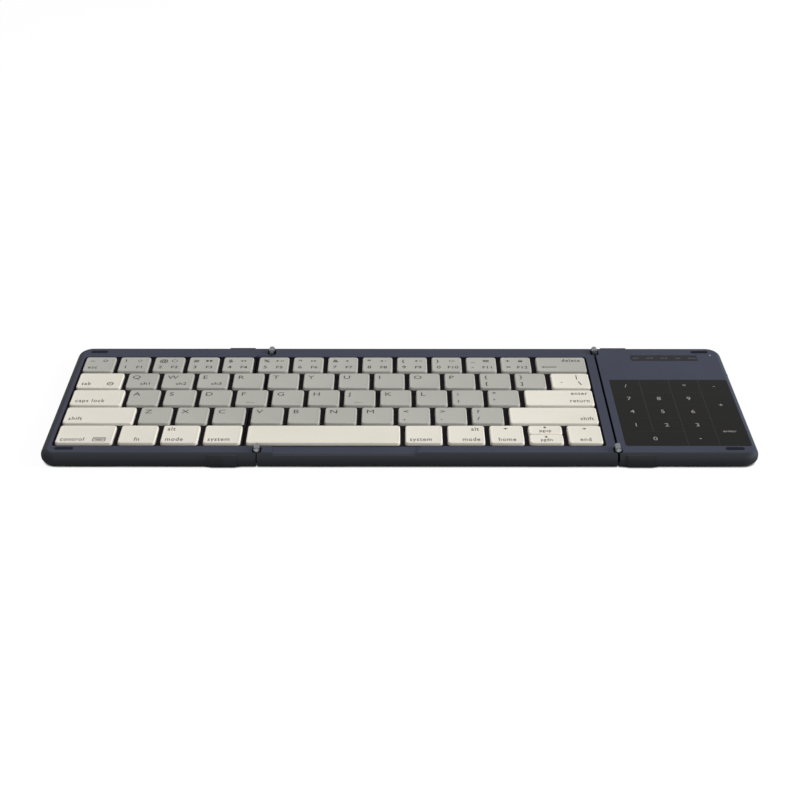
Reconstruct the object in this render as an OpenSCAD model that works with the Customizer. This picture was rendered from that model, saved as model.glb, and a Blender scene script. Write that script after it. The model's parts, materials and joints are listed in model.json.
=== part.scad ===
// Folding keyboard: two outer leaves fold up and over a centre leaf.
// Origin: middle of the open keyboard, on the surface that its feet stand on.
// +X runs along the open keyboard, +Y away from the typist, +Z up.

/* [Leaves] */
// Width of the left leaf, from its outer end to its hinge axis
left_leaf_w = 99.5; // [97:0.5:106]
// Height of the hinge axes above the deck, so that the keys clear when folded
axis_rise = 1.05; // [0.9:0.05:1.4]
// Gap between two leaves at a hinge line
seam_gap = 0.5; // [0.4:0.05:0.6]
// Plan radius of the four outer corners
corner_r = 7.5; // [5:0.5:10]
// Rounding of the upper outer edges
top_edge_r = 3.1; // [2:0.1:3.2]
// Rounding of the lower outer edges
low_edge_r = 2.6; // [1.5:0.1:2.8]

/* [Keys] */
// Distance from one letter key to the next
key_pitch = 17.5; // [17:0.1:17.8]
// Gap between two key tops in a row
key_gap = 2.5; // [2.3:0.1:2.8]
// Gap beside the wide keys at the right end of a row
end_gap = 2.9; // [2.6:0.1:3.2]
// Width of the narrowest key at the right end of a row, behind the enter key
end_key_w = 18.8; // [17.5:0.1:21]
// Gap between key tops in the bottom row
bottom_gap = 2.6; // [2.4:0.1:2.8]
// Distance from one key row to the next
row_pitch = 17.15; // [17:0.05:17.6]
// Gap between two key rows
row_gap = 2.35; // [2.3:0.05:2.8]
// Depth of the bottom row's keys
bottom_key_d = 15.7; // [15:0.1:17]
// Width of the modifier keys in the bottom row
mod_key_w = 17.1; // [16:0.1:17.4]
// Width of the arrow keys
arrow_key_w = 15.6; // [14.5:0.1:16]
// Gap between the half-height up and down keys
half_gap = 0.7; // [0.6:0.1:1]
// Height of a keycap from skirt to crown
key_h = 2.2; // [2:0.1:2.6]
// Distance that a key travels
key_travel = 1.3; // [1:0.1:1.6]
// Amount by which a skirt is wider than the crown, on each side
key_draft = 0.15; // [0.1:0.01:0.2]
// Plan radius of a keycap's corners
key_corner_r = 1.4; // [0.8:0.1:2]
// Rounding of a crown's edges
key_edge_r = 0.4; // [0.2:0.05:0.6]
// Thickness of a keycap's crown
key_crown_t = 0.9; // [0.7:0.05:1]
// Thickness of a keycap's skirt
key_skirt_t = 0.9; // [0.7:0.05:1.1]
// Clearance between a key's skirt and its hole
key_clear = 0.25; // [0.2:0.01:0.3]
// Height of the key tops above the deck
key_proud = 0.2; // [0:0.05:0.6]
// Height of a key that shows above the web between the keys
key_show = 1.4; // [1.2:0.05:1.7]
// Height of the homing bars on two keys of the home row
homing_h = 0.2; // [0.15:0.05:0.3]

/* [Scissor links] */
// Width of the outer link under a key
scissor_w = 12.6; // [12:0.1:12.8]
// Width of the links' bars
link_bar = 0.9; // [0.8:0.05:1]
// Thickness of the links
link_t = 0.7; // [0.6:0.05:0.8]
// Clearance between the two links, and of the links beside their hooks and lugs
link_clear = 0.15; // [0.1:0.05:0.2]
// Radius of the pivots on which the two links cross
pivot_r = 0.2; // [0.15:0.01:0.22]
// Width of the hooks and lugs that hold the links
hook_w = 2.4; // [2:0.1:4]

/* [Deck] */
// Depth of the deck strip behind the keys
rear_strip_d = 11.3; // [10.5:0.05:13]
// Depth of the deck strip in front of the keys
front_strip_d = 8.55; // [8.5:0.05:12]
// Width of the deck beside the leftmost keys
left_bezel_w = 4.6; // [4:0.1:7]
// Width of the deck beside the rightmost keys
right_bezel_w = 4.55; // [4:0.05:7]
// Space in the key well behind the top row
well_rear_gap = 0.8; // [0.7:0.05:1.5]
// Space in the key well in front of the bottom row
well_front_gap = 2.7; // [1.9:0.1:3.5]
// Space in the key well beside the end keys
well_side_gap = 1.1; // [0.8:0.1:1.5]
// Depth of the finger scoop in the deck in front of the space bar
scoop_t = 0.8; // [0.4:0.1:1]
// Length of the finger scoop
scoop_len = 69; // [50:1:72]

/* [Shells] */
// Wall thickness at the ends, front and rear
wall_t = 1.4; // [1.2:0.05:1.8]
// Floor thickness of the lower cases
floor_t = 1; // [0.8:0.05:1.3]
// Wall thickness along a hinge line
seam_wall_t = 0.5; // [0.4:0.05:0.55]
// Thickness of the web that surrounds the keys
web_t = 1.4; // [1.2:0.05:1.6]
// Height of a lower case, where it meets its upper half
case_h = 3.1; // [2.9:0.05:3.4]
// Height of the lip that seats a lower case in its upper half
lip_h = 0.5; // [0.3:0.05:0.6]
// Thickness of that lip
lip_t = 0.6; // [0.5:0.05:0.7]
// Height of the ribs that carry the key plate
rib_h = 1.1; // [1:0.05:1.4]
// Thickness of a rib
rib_t = 1; // [0.8:0.1:1.4]
// Thickness of the steel key plate
plate_t = 0.5; // [0.4:0.05:0.6]
// Thickness of the switch membrane
membrane_t = 0.2; // [0.15:0.05:0.3]
// Clearance between a pressed key and the membrane
travel_clear = 0.3; // [0.2:0.05:0.5]
// Clearance of the loose inner parts from the walls
inner_clear = 0.4; // [0.3:0.05:0.6]

/* [Hinges] */
// Radius of a hinge knuckle
barrel_r = 1.45; // [1.3:0.05:1.5]
// Radius of a hinge pin
pin_r = 0.6; // [0.5:0.05:0.7]
// Running clearance of a pin in its knuckle
pin_clear = 0.05; // [0.03:0.01:0.08]
// Length of a complete knuckle along its axis
barrel_len = 4; // [3.6:0.1:4.2]
// Gap between the two halves of a knuckle
knuckle_gap = 0.1; // [0.06:0.02:0.2]
// Distance from a front knuckle to the front wall's face
front_inset = 3.2; // [3:0.1:3.5]
// Distance from a rear knuckle to the rear wall's face
rear_inset = 4.45; // [4:0.05:4.8]
// Clearance round a knuckle in its notch
notch_clear = 0.7; // [0.5:0.05:0.8]
// Thickness of a hinge bracket
bracket_t = 1; // [0.8:0.05:1.1]
// Length of a hinge bracket's foot inside its leaf
bracket_len = 13; // [11:0.5:15]
// Width of a hinge bracket's foot
bracket_w = 5; // [4.6:0.1:5.2]
// Radius of a hinge pin's heads
pin_head_r = 0.95; // [0.8:0.05:1.1]
// Thickness of a hinge pin's heads
pin_head_t = 0.25; // [0.2:0.05:0.3]

/* [Feet and bumpers] */
// Height of the feet under the cases
foot_h = 0.5; // [0.4:0.05:0.8]
// Length of the thin feet
foot_len = 20; // [12:1:24]
// Width of the thin feet
foot_w = 4; // [3:0.5:5]
// Width of a wrap-around foot beside a hinge
wrap_w = 13; // [10:0.5:15]
// Distance from the left hinge axis to the wrap-around feet of its leaf
left_wrap_off = 8.9; // [8.4:0.1:10]
// Distance from the right hinge axis to the wrap-around feet of its leaf
right_wrap_off = 3.8; // [3.2:0.1:6]
// Reach of a wrap-around foot under the case
wrap_reach = 11; // [8:0.5:12]
// Length of a deck bumper
bumper_len = 8.5; // [6:0.5:10]
// Width of a deck bumper
bumper_w = 1.9; // [1:0.1:2.2]
// Distance from a leaf's end to its bumpers
bumper_end = 6.7; // [6:0.1:9]
// Distance from the front wall's face to the middle of a front bumper
bumper_front = 6.45; // [6:0.05:7]
// Distance from the rear wall's face to the middle of a rear bumper
bumper_rear = 5.85; // [5:0.05:7]
// Height of a bumper above the deck
bumper_proud = 0.2; // [0.1:0.05:0.3]
// Clearance between a fitted part and its recess
fit_clear = 0.1; // [0.05:0.01:0.15]

/* [Screws] */
// Radius of a case screw
screw_r = 0.7; // [0.6:0.05:0.8]
// Radius of a case screw's head
screw_head_r = 1.3; // [1.2:0.05:1.5]
// Thickness of a case screw's head
screw_head_t = 0.6; // [0.5:0.05:0.7]
// Clearance round a screw
screw_clear = 0.1; // [0.08:0.01:0.15]
// Radius of a screw boss
boss_r = 1.9; // [1.8:0.05:2]

/* [Right leaf] */
// Width of the touch panel
panel_w = 58; // [54:0.5:64]
// Depth of the touch panel
panel_d = 63.1; // [58:0.5:64]
// Thickness of the touch panel's glass
panel_t = 0.7; // [0.5:0.05:0.9]
// Width of the deck between the touch panel and the leaf's outer end
panel_margin = 2.8; // [2.5:0.1:4]
// Width of the deck between the hinge axis and the touch panel
panel_hinge_w = 4.2; // [4:0.1:6]
// Depth of the deck in front of the touch panel
panel_front_d = 8.95; // [8:0.05:10]
// Width of the status window
window_w = 33.8; // [28:0.5:36]
// Depth of the status window
window_d = 5.9; // [5:0.1:6.5]
// Distance from the hinge axis to the status window
window_off = 18; // [14:0.5:20]
// Distance from the rear wall's face to the status window
window_rear = 9.5; // [9:0.05:11]
// Distance of the status light from the right end
lens_off = 6; // [4:0.1:8]
// Distance of the status light from the rear edge
lens_rear = 9.4; // [8:0.1:12]
// Radius of the status light
lens_r = 0.5; // [0.4:0.05:0.9]
// Thickness of the circuit board
board_t = 0.8; // [0.6:0.1:1]
// Thickness of the battery
battery_t = 2.4; // [2:0.1:2.6]
// Depth of the battery
battery_d = 52; // [40:1:54]
// Distance that the power switch slides
switch_travel = 2; // [1.5:0.1:2.5]
// Width of the charging socket's metal shell
socket_w = 8.94; // [8.9:0.01:9]
// Height of the charging socket's metal shell
socket_h = 3.2; // [3.1:0.01:3.3]
// Depth of the charging socket
socket_d = 7.3; // [6.5:0.1:7.5]

/* [Hidden] */
$fn = 48;
big = 400;
tiny = 0.02;

// Heights, stacked from the surface that the feet stand on
floor_z = foot_h + floor_t;
plate_z = floor_z + rib_h;
membrane_z = plate_z + plate_t;
pad_z = membrane_z + membrane_t;
skirt_z = pad_z + travel_clear + key_travel;
key_top_z = skirt_z + key_h;
deck_z = key_top_z - key_proud;
web_top_z = key_top_z - key_show;
web_low_z = web_top_z - web_t;
axis_z = deck_z + axis_rise;
part_z = foot_h + case_h;
board_z = floor_z + 0.6;
panel_proud = 0.05;

// Depth of the leaves, built up from the rows of keys
body_d = front_strip_d + well_front_gap + bottom_key_d + 4 * row_pitch + well_rear_gap + rear_strip_d;
rear_y = body_d / 2;
well_rear_y = rear_y - rear_strip_d;
well_front_y = front_strip_d - rear_y;
first_row_y = well_rear_y - well_rear_gap;
well_corner_r = 1.5;

// Room that the stepped hinge line needs beside its axis, and the space round the membrane
seam_reach = 9;
film_in = inner_clear + 0.5;

// The left hinge line steps round the keys: its places beside the axis, row by row, the space
// between the key tops on its two sides, and the number of letter keys on each side
seam_shift = [-7.2, -0.8, 2.35, -6.65, -7];
seam_room = [3, 2.4, 2.5, 3.2, 2.8];
left_count = [4, 4, 4, 3];
centre_count = [8, 8, 7, 7];
key_w = key_pitch - key_gap;

// The centre leaf is as wide as its second row of keys, the right leaf as wide as its touch panel
second_row_w = seam_shift[1] + seam_room[1] / 2 + centre_count[1] * key_pitch - key_gap + end_gap + end_key_w;
centre_leaf_w = second_row_w + well_side_gap + right_bezel_w + seam_gap / 2;
right_leaf_w = panel_hinge_w + panel_w + panel_margin;

// Places along the open keyboard
open_w = left_leaf_w + centre_leaf_w + right_leaf_w;
left_x = -open_w / 2;
right_x = open_w / 2;
left_axis_x = left_x + left_leaf_w;
right_axis_x = left_axis_x + centre_leaf_w;
well_left_x = left_x + left_bezel_w;
well_right_x = right_axis_x - seam_gap / 2 - right_bezel_w;
keys_left_x = well_left_x + well_side_gap;
keys_right_x = well_right_x - well_side_gap;

function row_y(r) = first_row_y - r * row_pitch;
function row_d(r) = r == 4 ? bottom_key_d : row_pitch - row_gap;
function row_front(r) = row_y(r) - row_d(r);
function seam_left(r) = left_axis_x + seam_shift[r] - seam_room[r] / 2;
function seam_right(r) = left_axis_x + seam_shift[r] + seam_room[r] / 2;

// A key is [left edge, width, front edge, depth] of its crown
function key_at(x, w, r) = [x, w, row_front(r), row_d(r)];
function left_bank_x(r) = seam_left(r) - left_count[r] * key_pitch + key_gap;
function left_bank(r) = [for (i = [0:left_count[r] - 1]) key_at(left_bank_x(r) + i * key_pitch, key_w, r)];
function left_wide(r) = key_at(keys_left_x, left_bank_x(r) - key_gap - keys_left_x, r);
function centre_bank(r) = [for (i = [0:centre_count[r] - 1]) key_at(seam_right(r) + i * key_pitch, key_w, r)];
function centre_bank_end(r) = seam_right(r) + centre_count[r] * key_pitch - key_gap;
function centre_wide(r) =
    key_at(centre_bank_end(r) + end_gap, keys_right_x - centre_bank_end(r) - end_gap, r);

// Bottom row, counted out from the left hinge line and in from the right end
mod_step = mod_key_w + bottom_gap;
arrow_step = arrow_key_w + bottom_gap;
system_left_x = seam_left(4) - mod_key_w;
alt_left_x = system_left_x - mod_step;
fn_x = alt_left_x - mod_step;
arrow_right_x = keys_right_x - arrow_key_w;
arrow_mid_x = arrow_right_x - arrow_step;
arrow_left_x = arrow_mid_x - arrow_step;
alt_right_x = arrow_left_x - mod_step;
system_right_x = alt_right_x - mod_step;
half_key_d = (bottom_key_d - half_gap) / 2;

control = key_at(keys_left_x, fn_x - bottom_gap - keys_left_x, 4);
fn_lock = key_at(fn_x, mod_key_w, 4);
alt_left = key_at(alt_left_x, mod_key_w, 4);
system_left = key_at(system_left_x, mod_key_w, 4);
space = key_at(seam_right(4), system_right_x - bottom_gap - seam_right(4), 4);
system_right = key_at(system_right_x, mod_key_w, 4);
alt_right = key_at(alt_right_x, mod_key_w, 4);
arrow_left = key_at(arrow_left_x, arrow_key_w, 4);
arrow_right = key_at(arrow_right_x, arrow_key_w, 4);
arrow_down = [arrow_mid_x, arrow_key_w, row_front(4), half_key_d];
arrow_up = [arrow_mid_x, arrow_key_w, row_front(4) + half_key_d + half_gap, half_key_d];
arrow_pair = key_at(arrow_mid_x, arrow_key_w, 4);

left_keys = concat(
    [for (r = [0:3]) left_wide(r)],
    [for (r = [0:3]) each left_bank(r)],
    [control, fn_lock, alt_left, system_left]
);
centre_block_keys = concat(
    [for (r = [0:3]) centre_wide(r)],
    [for (r = [0:3]) each centre_bank(r)],
    [space, system_right, alt_right, arrow_left, arrow_right]
);

// The stepped hinge line, from the rear edge to the front
jog_margin = 1.05;
front_jog_clear = 0.2;
seam_x = concat([left_axis_x], [for (s = seam_shift) left_axis_x + s], [left_axis_x]);
seam_y = concat(
    [well_rear_y + jog_margin],
    [for (r = [1:4]) row_y(r) + row_gap / 2],
    [row_front(4) - key_draft - key_clear - seam_wall_t - front_jog_clear - seam_gap / 2]
);

// The line moved sideways by shift, towards +X where shift is positive
function seam_line(shift) = [
    for (i = [0:5])
        for (e = [0, 1])
            [seam_x[i + e] + shift, seam_y[i] + shift * sign(seam_x[i + 1] - seam_x[i])]
];

module left_of_seam(shift) {
    line = seam_line(shift);
    rear = [[-big, big], [line[0][0], big]];
    front = [[line[11][0], -big], [-big, -big]];
    polygon(concat(rear, line, front));
}

module right_of_seam(shift) {
    line = seam_line(shift);
    rear = [[right_axis_x, big], [line[0][0], big]];
    front = [[line[11][0], -big], [right_axis_x, -big]];
    polygon(concat(rear, line, front));
}

// Plan of each leaf, drawn back from its edges by inset and from its hinge lines by seam_inset
module rounded_rect(w, d, r) {
    translate([r, 0]) square([w - 2 * r, d]);
    translate([0, r]) square([w, d - 2 * r]);
    for (x = [r, w - r], y = [r, d - r])
        translate([x, y]) circle(r = r);
}

module left_plan(inset, seam_inset) {
    intersection() {
        translate([left_x + inset, -rear_y + inset])
            rounded_rect(2 * left_leaf_w, body_d - 2 * inset, corner_r - inset);
        left_of_seam(-seam_gap / 2 - seam_inset);
    }
}

module centre_plan(inset, seam_inset) {
    intersection() {
        translate([left_axis_x - seam_reach, -rear_y + inset])
            square([seam_reach + centre_leaf_w - seam_gap / 2 - seam_inset, body_d - 2 * inset]);
        right_of_seam(seam_gap / 2 + seam_inset);
    }
}

module right_plan(inset, seam_inset) {
    start = right_axis_x + seam_gap / 2 + seam_inset;
    intersection() {
        translate([right_x - inset - 2 * right_leaf_w, -rear_y + inset])
            rounded_rect(2 * right_leaf_w, body_d - 2 * inset, corner_r - inset);
        translate([start, -big / 2]) square([big, big]);
    }
}

// The lip that stands on a lower case inside its outer wall: the ring between two plans
module left_lip() {
    difference() {
        left_plan(wall_t - lip_t, seam_wall_t);
        left_plan(wall_t, 0);
    }
}

module centre_lip() {
    difference() {
        centre_plan(wall_t - lip_t, seam_wall_t);
        centre_plan(wall_t, 0);
    }
}

module right_lip() {
    difference() {
        right_plan(wall_t - lip_t, seam_wall_t);
        right_plan(wall_t, 0);
    }
}

// The rebate of an upper half, which takes that lip
rebate_in = wall_t - lip_t - fit_clear;

module rebate() {
    slab(part_z - 1, part_z + lip_h + fit_clear) children();
}

// Half of a leaf's rounded section, from u = 0 out to u = edge, and grown outwards by grow
module edge_profile(edge, grow = 0) {
    reach = edge + grow;
    low = foot_h - grow;
    top = deck_z + grow;
    low_r = low_edge_r + grow;
    top_r = top_edge_r + grow;
    translate([0, low]) square([reach - low_r, low_r]);
    translate([0, low + low_r]) square([reach, top - top_r - low - low_r]);
    translate([0, top - top_r]) square([reach - top_r, top_r]);
    translate([reach - low_r, low + low_r]) circle(r = low_r);
    translate([reach - top_r, top - top_r]) circle(r = top_r);
}

module whole_profile() {
    edge_profile(rear_y);
    mirror([1, 0]) edge_profile(rear_y);
}

module run_x(x0, x1) {
    translate([x0, 0, 0]) rotate([90, 0, 90]) linear_extrude(x1 - x0) children();
}

module run_y(y0, y1) {
    translate([0, y1, 0]) rotate([90, 0, 0]) linear_extrude(y1 - y0) children();
}

// A solid leaf that ends in two rounded corners at x_end; side is -1 for a left end, 1 for a right
module end_block(x_end, x_far, side) {
    corner_x = x_end - side * corner_r;
    corner_y = rear_y - corner_r;
    run_x(min(corner_x, x_far), max(corner_x, x_far)) whole_profile();
    run_y(-corner_y, corner_y) translate([corner_x, 0]) mirror([side < 0 ? 1 : 0, 0]) edge_profile(corner_r);
    for (s = [-1, 1])
        translate([corner_x, s * corner_y, 0])
            rotate([0, 0, side > 0 ? (s > 0 ? 0 : -90) : (s > 0 ? 90 : 180)])
                rotate_extrude(angle = 90) edge_profile(corner_r);
}

module left_block() {
    intersection() {
        end_block(left_x, left_axis_x + seam_reach, -1);
        linear_extrude(big) left_of_seam(-seam_gap / 2);
    }
}

module centre_block() {
    intersection() {
        run_x(left_axis_x - seam_reach, right_axis_x - seam_gap / 2) whole_profile();
        linear_extrude(big) right_of_seam(seam_gap / 2);
    }
}

module right_block() {
    end_block(right_x, right_axis_x + seam_gap / 2, 1);
}

module between(z0, z1) {
    translate([-big / 2, -big / 2, z0]) cube([big, big, z1 - z0]);
}

module slab(z0, z1) {
    translate([0, 0, z0]) linear_extrude(z1 - z0) children();
}

// Hinges lie at the front end, -1, and at the rear end, 1, of each hinge line
front_barrel_y = front_inset + barrel_len / 2 - rear_y;
rear_barrel_y = rear_y - rear_inset - barrel_len / 2;
function barrel_y(end) = end > 0 ? rear_barrel_y : front_barrel_y;
notch_len = barrel_len + notch_clear;
notch_corner_r = 0.8;
bracket_z = part_z - bracket_t / 2;
bracket_corner_r = 1;
neck_x = seam_gap / 2 + 0.15;
foot_x = 3.2;
screw_x_off = bracket_len - bracket_w / 2;
screw_top_z = web_low_z + 1.1;

// The notch round a knuckle, which the two leaves of a hinge line share
module notch(axis_x, end, z0) {
    half = barrel_r + notch_clear;
    slab(z0, deck_z + 1)
        translate([axis_x - half, barrel_y(end) - notch_len / 2])
            rounded_rect(2 * half, notch_len, notch_corner_r);
}

// The plan of a bracket, drawn from the hinge axis along +X
module bracket_plan(half_y, half_len, end) {
    translate([neck_x, half_y - half_len / 2]) square([foot_x + bracket_corner_r - neck_x, half_len]);
    translate([foot_x, barrel_y(end) - bracket_w / 2])
        rounded_rect(bracket_len - foot_x, bracket_w, bracket_corner_r);
}

// A bracket with its half of the knuckle. side is the direction from the axis into the leaf,
// and half_end is -1 for the half nearer the front
module hinge_bracket(axis_x, side, end, half_end) {
    half_len = (barrel_len - knuckle_gap) / 2;
    half_y = barrel_y(end) + half_end * (half_len + knuckle_gap) / 2;
    translate([axis_x, 0, 0]) mirror([side < 0 ? 1 : 0, 0, 0])
        difference() {
            union() {
                translate([0, half_y + half_len / 2, axis_z]) rotate([90, 0, 0])
                    cylinder(r = barrel_r, h = half_len);
                translate([neck_x, half_y - half_len / 2, bracket_z])
                    cube([barrel_r - neck_x, half_len, axis_z - bracket_z]);
                slab(bracket_z, bracket_z + bracket_t) bracket_plan(half_y, half_len, end);
            }
            translate([0, half_y + half_len, axis_z]) rotate([90, 0, 0])
                cylinder(r = pin_r + pin_clear, h = 2 * half_len);
            translate([screw_x_off, barrel_y(end), bracket_z - 1])
                cylinder(r = screw_r + screw_clear, h = bracket_t + 2);
        }
}

// The outer half of each knuckle belongs to the centre leaf and the inner half to the moving leaf
module leaf_brackets(axis_x, side) {
    for (end = [-1, 1])
        hinge_bracket(axis_x, side, end, -end);
}

// A pin with a head at each end, which leaves the knuckle a little end play
module hinge_pin(axis_x, end) {
    end_play = 0.1;
    length = barrel_len + end_play;
    translate([axis_x, barrel_y(end) + length / 2, axis_z]) rotate([90, 0, 0]) {
        cylinder(r = pin_r, h = length);
        translate([0, 0, -pin_head_t]) cylinder(r = pin_head_r, h = pin_head_t);
        translate([0, 0, length]) cylinder(r = pin_head_r, h = pin_head_t);
    }
}

// Screws hold a case, its hinge brackets and its upper half together
end_screw_in = 7;
end_screw_y = rear_y - 6;
function hinge_screws(axis_x, side) = [for (end = [-1, 1]) [axis_x + side * screw_x_off, barrel_y(end)]];
function end_screws(x) = [for (s = [-1, 1]) [x, s * end_screw_y]];
left_screws_at = concat(hinge_screws(left_axis_x, -1), end_screws(left_x + end_screw_in));
centre_screws_at = concat(hinge_screws(left_axis_x, 1), hinge_screws(right_axis_x, -1));
right_screws_at = concat(hinge_screws(right_axis_x, 1), end_screws(right_x - end_screw_in));

module bosses(places, r, top_z) {
    for (p = places)
        translate([p[0], p[1], floor_z - tiny]) cylinder(r = r, h = top_z - floor_z + tiny);
}

module screw_holes(places) {
    for (p = places)
        translate([p[0], p[1], 0]) {
            cylinder(r = screw_r + screw_clear, h = screw_top_z + 2 * screw_clear);
            cylinder(r = screw_head_r + screw_clear, h = foot_h + screw_head_t + screw_clear / 2);
        }
}

module screws(places) {
    for (p = places)
        translate([p[0], p[1], foot_h]) {
            cylinder(r = screw_r, h = screw_top_z - foot_h);
            cylinder(r = screw_head_r, h = screw_head_t);
        }
}

// Keys. Under each full key lie two links that cross like scissors, between hooks that are stamped
// out of the key plate and lugs under the crown. They keep the key level as it goes down.
ceiling_z = skirt_z + key_h - key_crown_t;
link_len = row_d(0) - 2 * key_skirt_t - 4 * link_clear;
link_seat = 0.05;
link_tilt = asin((ceiling_z - pad_z - 2 * link_seat - link_t) / link_len);
hook_t = 0.4;
hook_h = 0.8;
lug_h = 0.6;
hook_y = (link_len / 2 - link_bar) * cos(link_tilt) - link_t / 2 * sin(link_tilt) - link_clear - hook_t;

// A link pair keeps its width unless its key's skirt leaves it less room
function link_w(key) = min(scissor_w, key - 2 * key_skirt_t - 2 * link_clear);

// Places of the link pairs along a key, from its middle: a long bar has two
function link_places(w) = w > 3 * key_pitch ? [-w / 4, w / 4] : [0];

module crown_section(w) {
    half = w / 2;
    polygon([
        [-half - key_draft, 0], [half + key_draft, 0],
        [half, key_h - key_edge_r], [half - key_edge_r, key_h],
        [key_edge_r - half, key_h], [-half, key_h - key_edge_r]
    ]);
    for (s = [-1, 1])
        translate([s * (half - key_edge_r), key_h - key_edge_r]) circle(r = key_edge_r);
}

// A low bar that a fingertip finds, near the front of a crown
module homing_bar(d) {
    bar_w = 4.4;
    bar_d = 0.6;
    bar_in = 2.6;
    translate([-bar_w / 2, bar_in - d / 2, key_h - tiny])
        linear_extrude(homing_h + tiny) rounded_rect(bar_w, bar_d, bar_d / 2 - tiny);
}

// Pairs of upright tabs, one in front and one behind, at each link pair of a key
module tab_pairs(w, t) {
    for (x = link_places(w), s = [-1, 1])
        translate([x - hook_w / 2, s > 0 ? hook_y : -hook_y - hook_t, 0])
            cube([hook_w, hook_t, t]);
}

module keycap(k, homing) {
    w = k[1];
    d = k[3];
    skirt_w = w + 2 * key_draft;
    skirt_d = d + 2 * key_draft;
    ceiling = key_h - key_crown_t;
    translate([k[0] + w / 2, k[2] + d / 2, skirt_z]) {
        difference() {
            union() {
                intersection() {
                    linear_extrude(key_h) translate([-skirt_w / 2, -skirt_d / 2])
                        rounded_rect(skirt_w, skirt_d, key_corner_r);
                    run_x(-w, w) crown_section(d);
                    run_y(-d, d) crown_section(w);
                }
                if (homing) homing_bar(d);
            }
            translate([-w / 2 + key_skirt_t, -d / 2 + key_skirt_t, -1])
                cube([w - 2 * key_skirt_t, d - 2 * key_skirt_t, ceiling + 1]);
        }
        if (d > half_key_d) translate([0, 0, ceiling - lug_h]) tab_pairs(w, lug_h + tiny);
    }
}

// A row or a single key; homing_key is the place of the key with a homing bar in its row
module keys(list, tint, homing_key = -1) {
    color(tint)
        for (i = [0:len(list) - 1])
            union() keycap(list[i], i == homing_key);
}

// One link: a frame that is tilted about the pivots in its middle
module link(w, tilt) {
    rotate([tilt, 0, 0]) translate([0, 0, -link_t / 2])
        linear_extrude(link_t)
            difference() {
                square([w, link_len], center = true);
                square([w - 2 * link_bar, link_len - 2 * link_bar], center = true);
            }
}

module scissor_pair(w) {
    inner_w = w - 2 * link_bar - 2 * link_clear;
    pivot_in = inner_w / 2 - link_bar / 2;
    pivot_out = w / 2 - tiny;
    difference() {
        link(w, link_tilt);
        rotate([0, 90, 0]) cylinder(r = pivot_r + pin_clear, h = 2 * w, center = true);
    }
    union() {
        link(inner_w, -link_tilt);
        for (s = [-1, 1])
            rotate([0, s * 90, 0]) translate([0, 0, pivot_in])
                cylinder(r = pivot_r, h = pivot_out - pivot_in);
    }
}

module scissors(list) {
    for (k = list)
        translate([k[0] + k[1] / 2, k[2] + k[3] / 2, (pad_z + ceiling_z) / 2])
            for (x = link_places(k[1])) translate([x, 0, 0]) scissor_pair(link_w(k[1]));
}

module plate_hooks(list) {
    for (k = list)
        translate([k[0] + k[1] / 2, k[2] + k[3] / 2, membrane_z - tiny])
            tab_pairs(k[1], pad_z - membrane_z + hook_h + tiny);
}

// Slots in the membrane for the hooks of the key plate
module hook_slots(list) {
    for (k = list)
        translate([k[0] + k[1] / 2, k[2] + k[3] / 2, 0])
            for (x = link_places(k[1]), s = [-1, 1])
                translate([x, s * (hook_y + hook_t / 2)])
                    square([hook_w + 2 * link_clear, hook_t + 2 * link_clear], center = true);
}

module key_holes(list) {
    grow = key_draft + key_clear;
    for (k = list)
        slab(web_low_z - 1, web_top_z + 1)
            translate([k[0] - grow, k[2] - grow])
                rounded_rect(k[1] + 2 * grow, k[3] + 2 * grow, key_corner_r + key_clear);
}

// Silicone domes: a flange, a thin cone that buckles, and a plunger that the crown rests on
dome_base_r = 2.6;
dome_top_r = 1.5;
small_dome_base_r = 1.7;
small_dome_top_r = 1;

module domes(list, base_r, top_r) {
    wall = 0.35;
    flange = 0.7;
    flange_h = 0.4;
    top_t = 0.8;
    height = ceiling_z - pad_z - link_seat;
    for (k = list)
        translate([k[0] + k[1] / 2, k[2] + k[3] / 2, pad_z])
            rotate_extrude()
                polygon([
                    [base_r - wall, 0], [base_r + flange, 0], [base_r + flange, flange_h], [base_r, flange_h],
                    [top_r, height - top_t], [top_r, height], [0, height], [0, height - top_t],
                    [top_r - wall, height - top_t]
                ]);
}

// Bumpers, feet and ribs
bumper_depth = 1;
left_bumper_x = left_x + bumper_end + bumper_len / 2;
right_bumper_x = right_x - bumper_end - bumper_len / 2;
thin_foot_in = 4.9;
thin_foot_r = 1;
foot_off = 22;
foot_end = 14;
wrap_top = 0.4;
plate_in = 1;

function bumper_y(end) = end > 0 ? rear_y - bumper_rear : bumper_front - rear_y;

module bumper_shape(x_mid, grow, z1) {
    w = bumper_len + 2 * grow;
    d = bumper_w + 2 * grow;
    for (end = [-1, 1])
        slab(deck_z - bumper_depth, z1)
            translate([x_mid - w / 2, bumper_y(end) - d / 2]) rounded_rect(w, d, d / 2 - tiny);
}

// A rubber foot that wraps under the case and up its wall
module wrap_foot(x0, end) {
    bond = 0.01;
    run_x(x0, x0 + wrap_w) mirror([end < 0 ? 1 : 0, 0])
        difference() {
            edge_profile(rear_y, foot_h);
            edge_profile(rear_y, bond);
            translate([-1, -1]) square([rear_y - wrap_reach + 1, deck_z + 2]);
            translate([0, deck_z - wrap_top]) square([rear_y + 2, deck_z]);
        }
}

module thin_foot(x0, end) {
    bond = 0.01;
    slab(0, foot_h - bond)
        translate([x0, end * (rear_y - thin_foot_in) - foot_w / 2])
            rounded_rect(foot_len, foot_w, thin_foot_r);
}

module case_ribs(x0, x1, count) {
    step = (x1 - x0) / count;
    for (i = [0.5:1:count - 0.5])
        translate([x0 + i * step - rib_t / 2, well_front_y + plate_in, floor_z - tiny])
            cube([rib_t, well_rear_y - well_front_y - 2 * plate_in, rib_h + tiny]);
}

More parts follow.
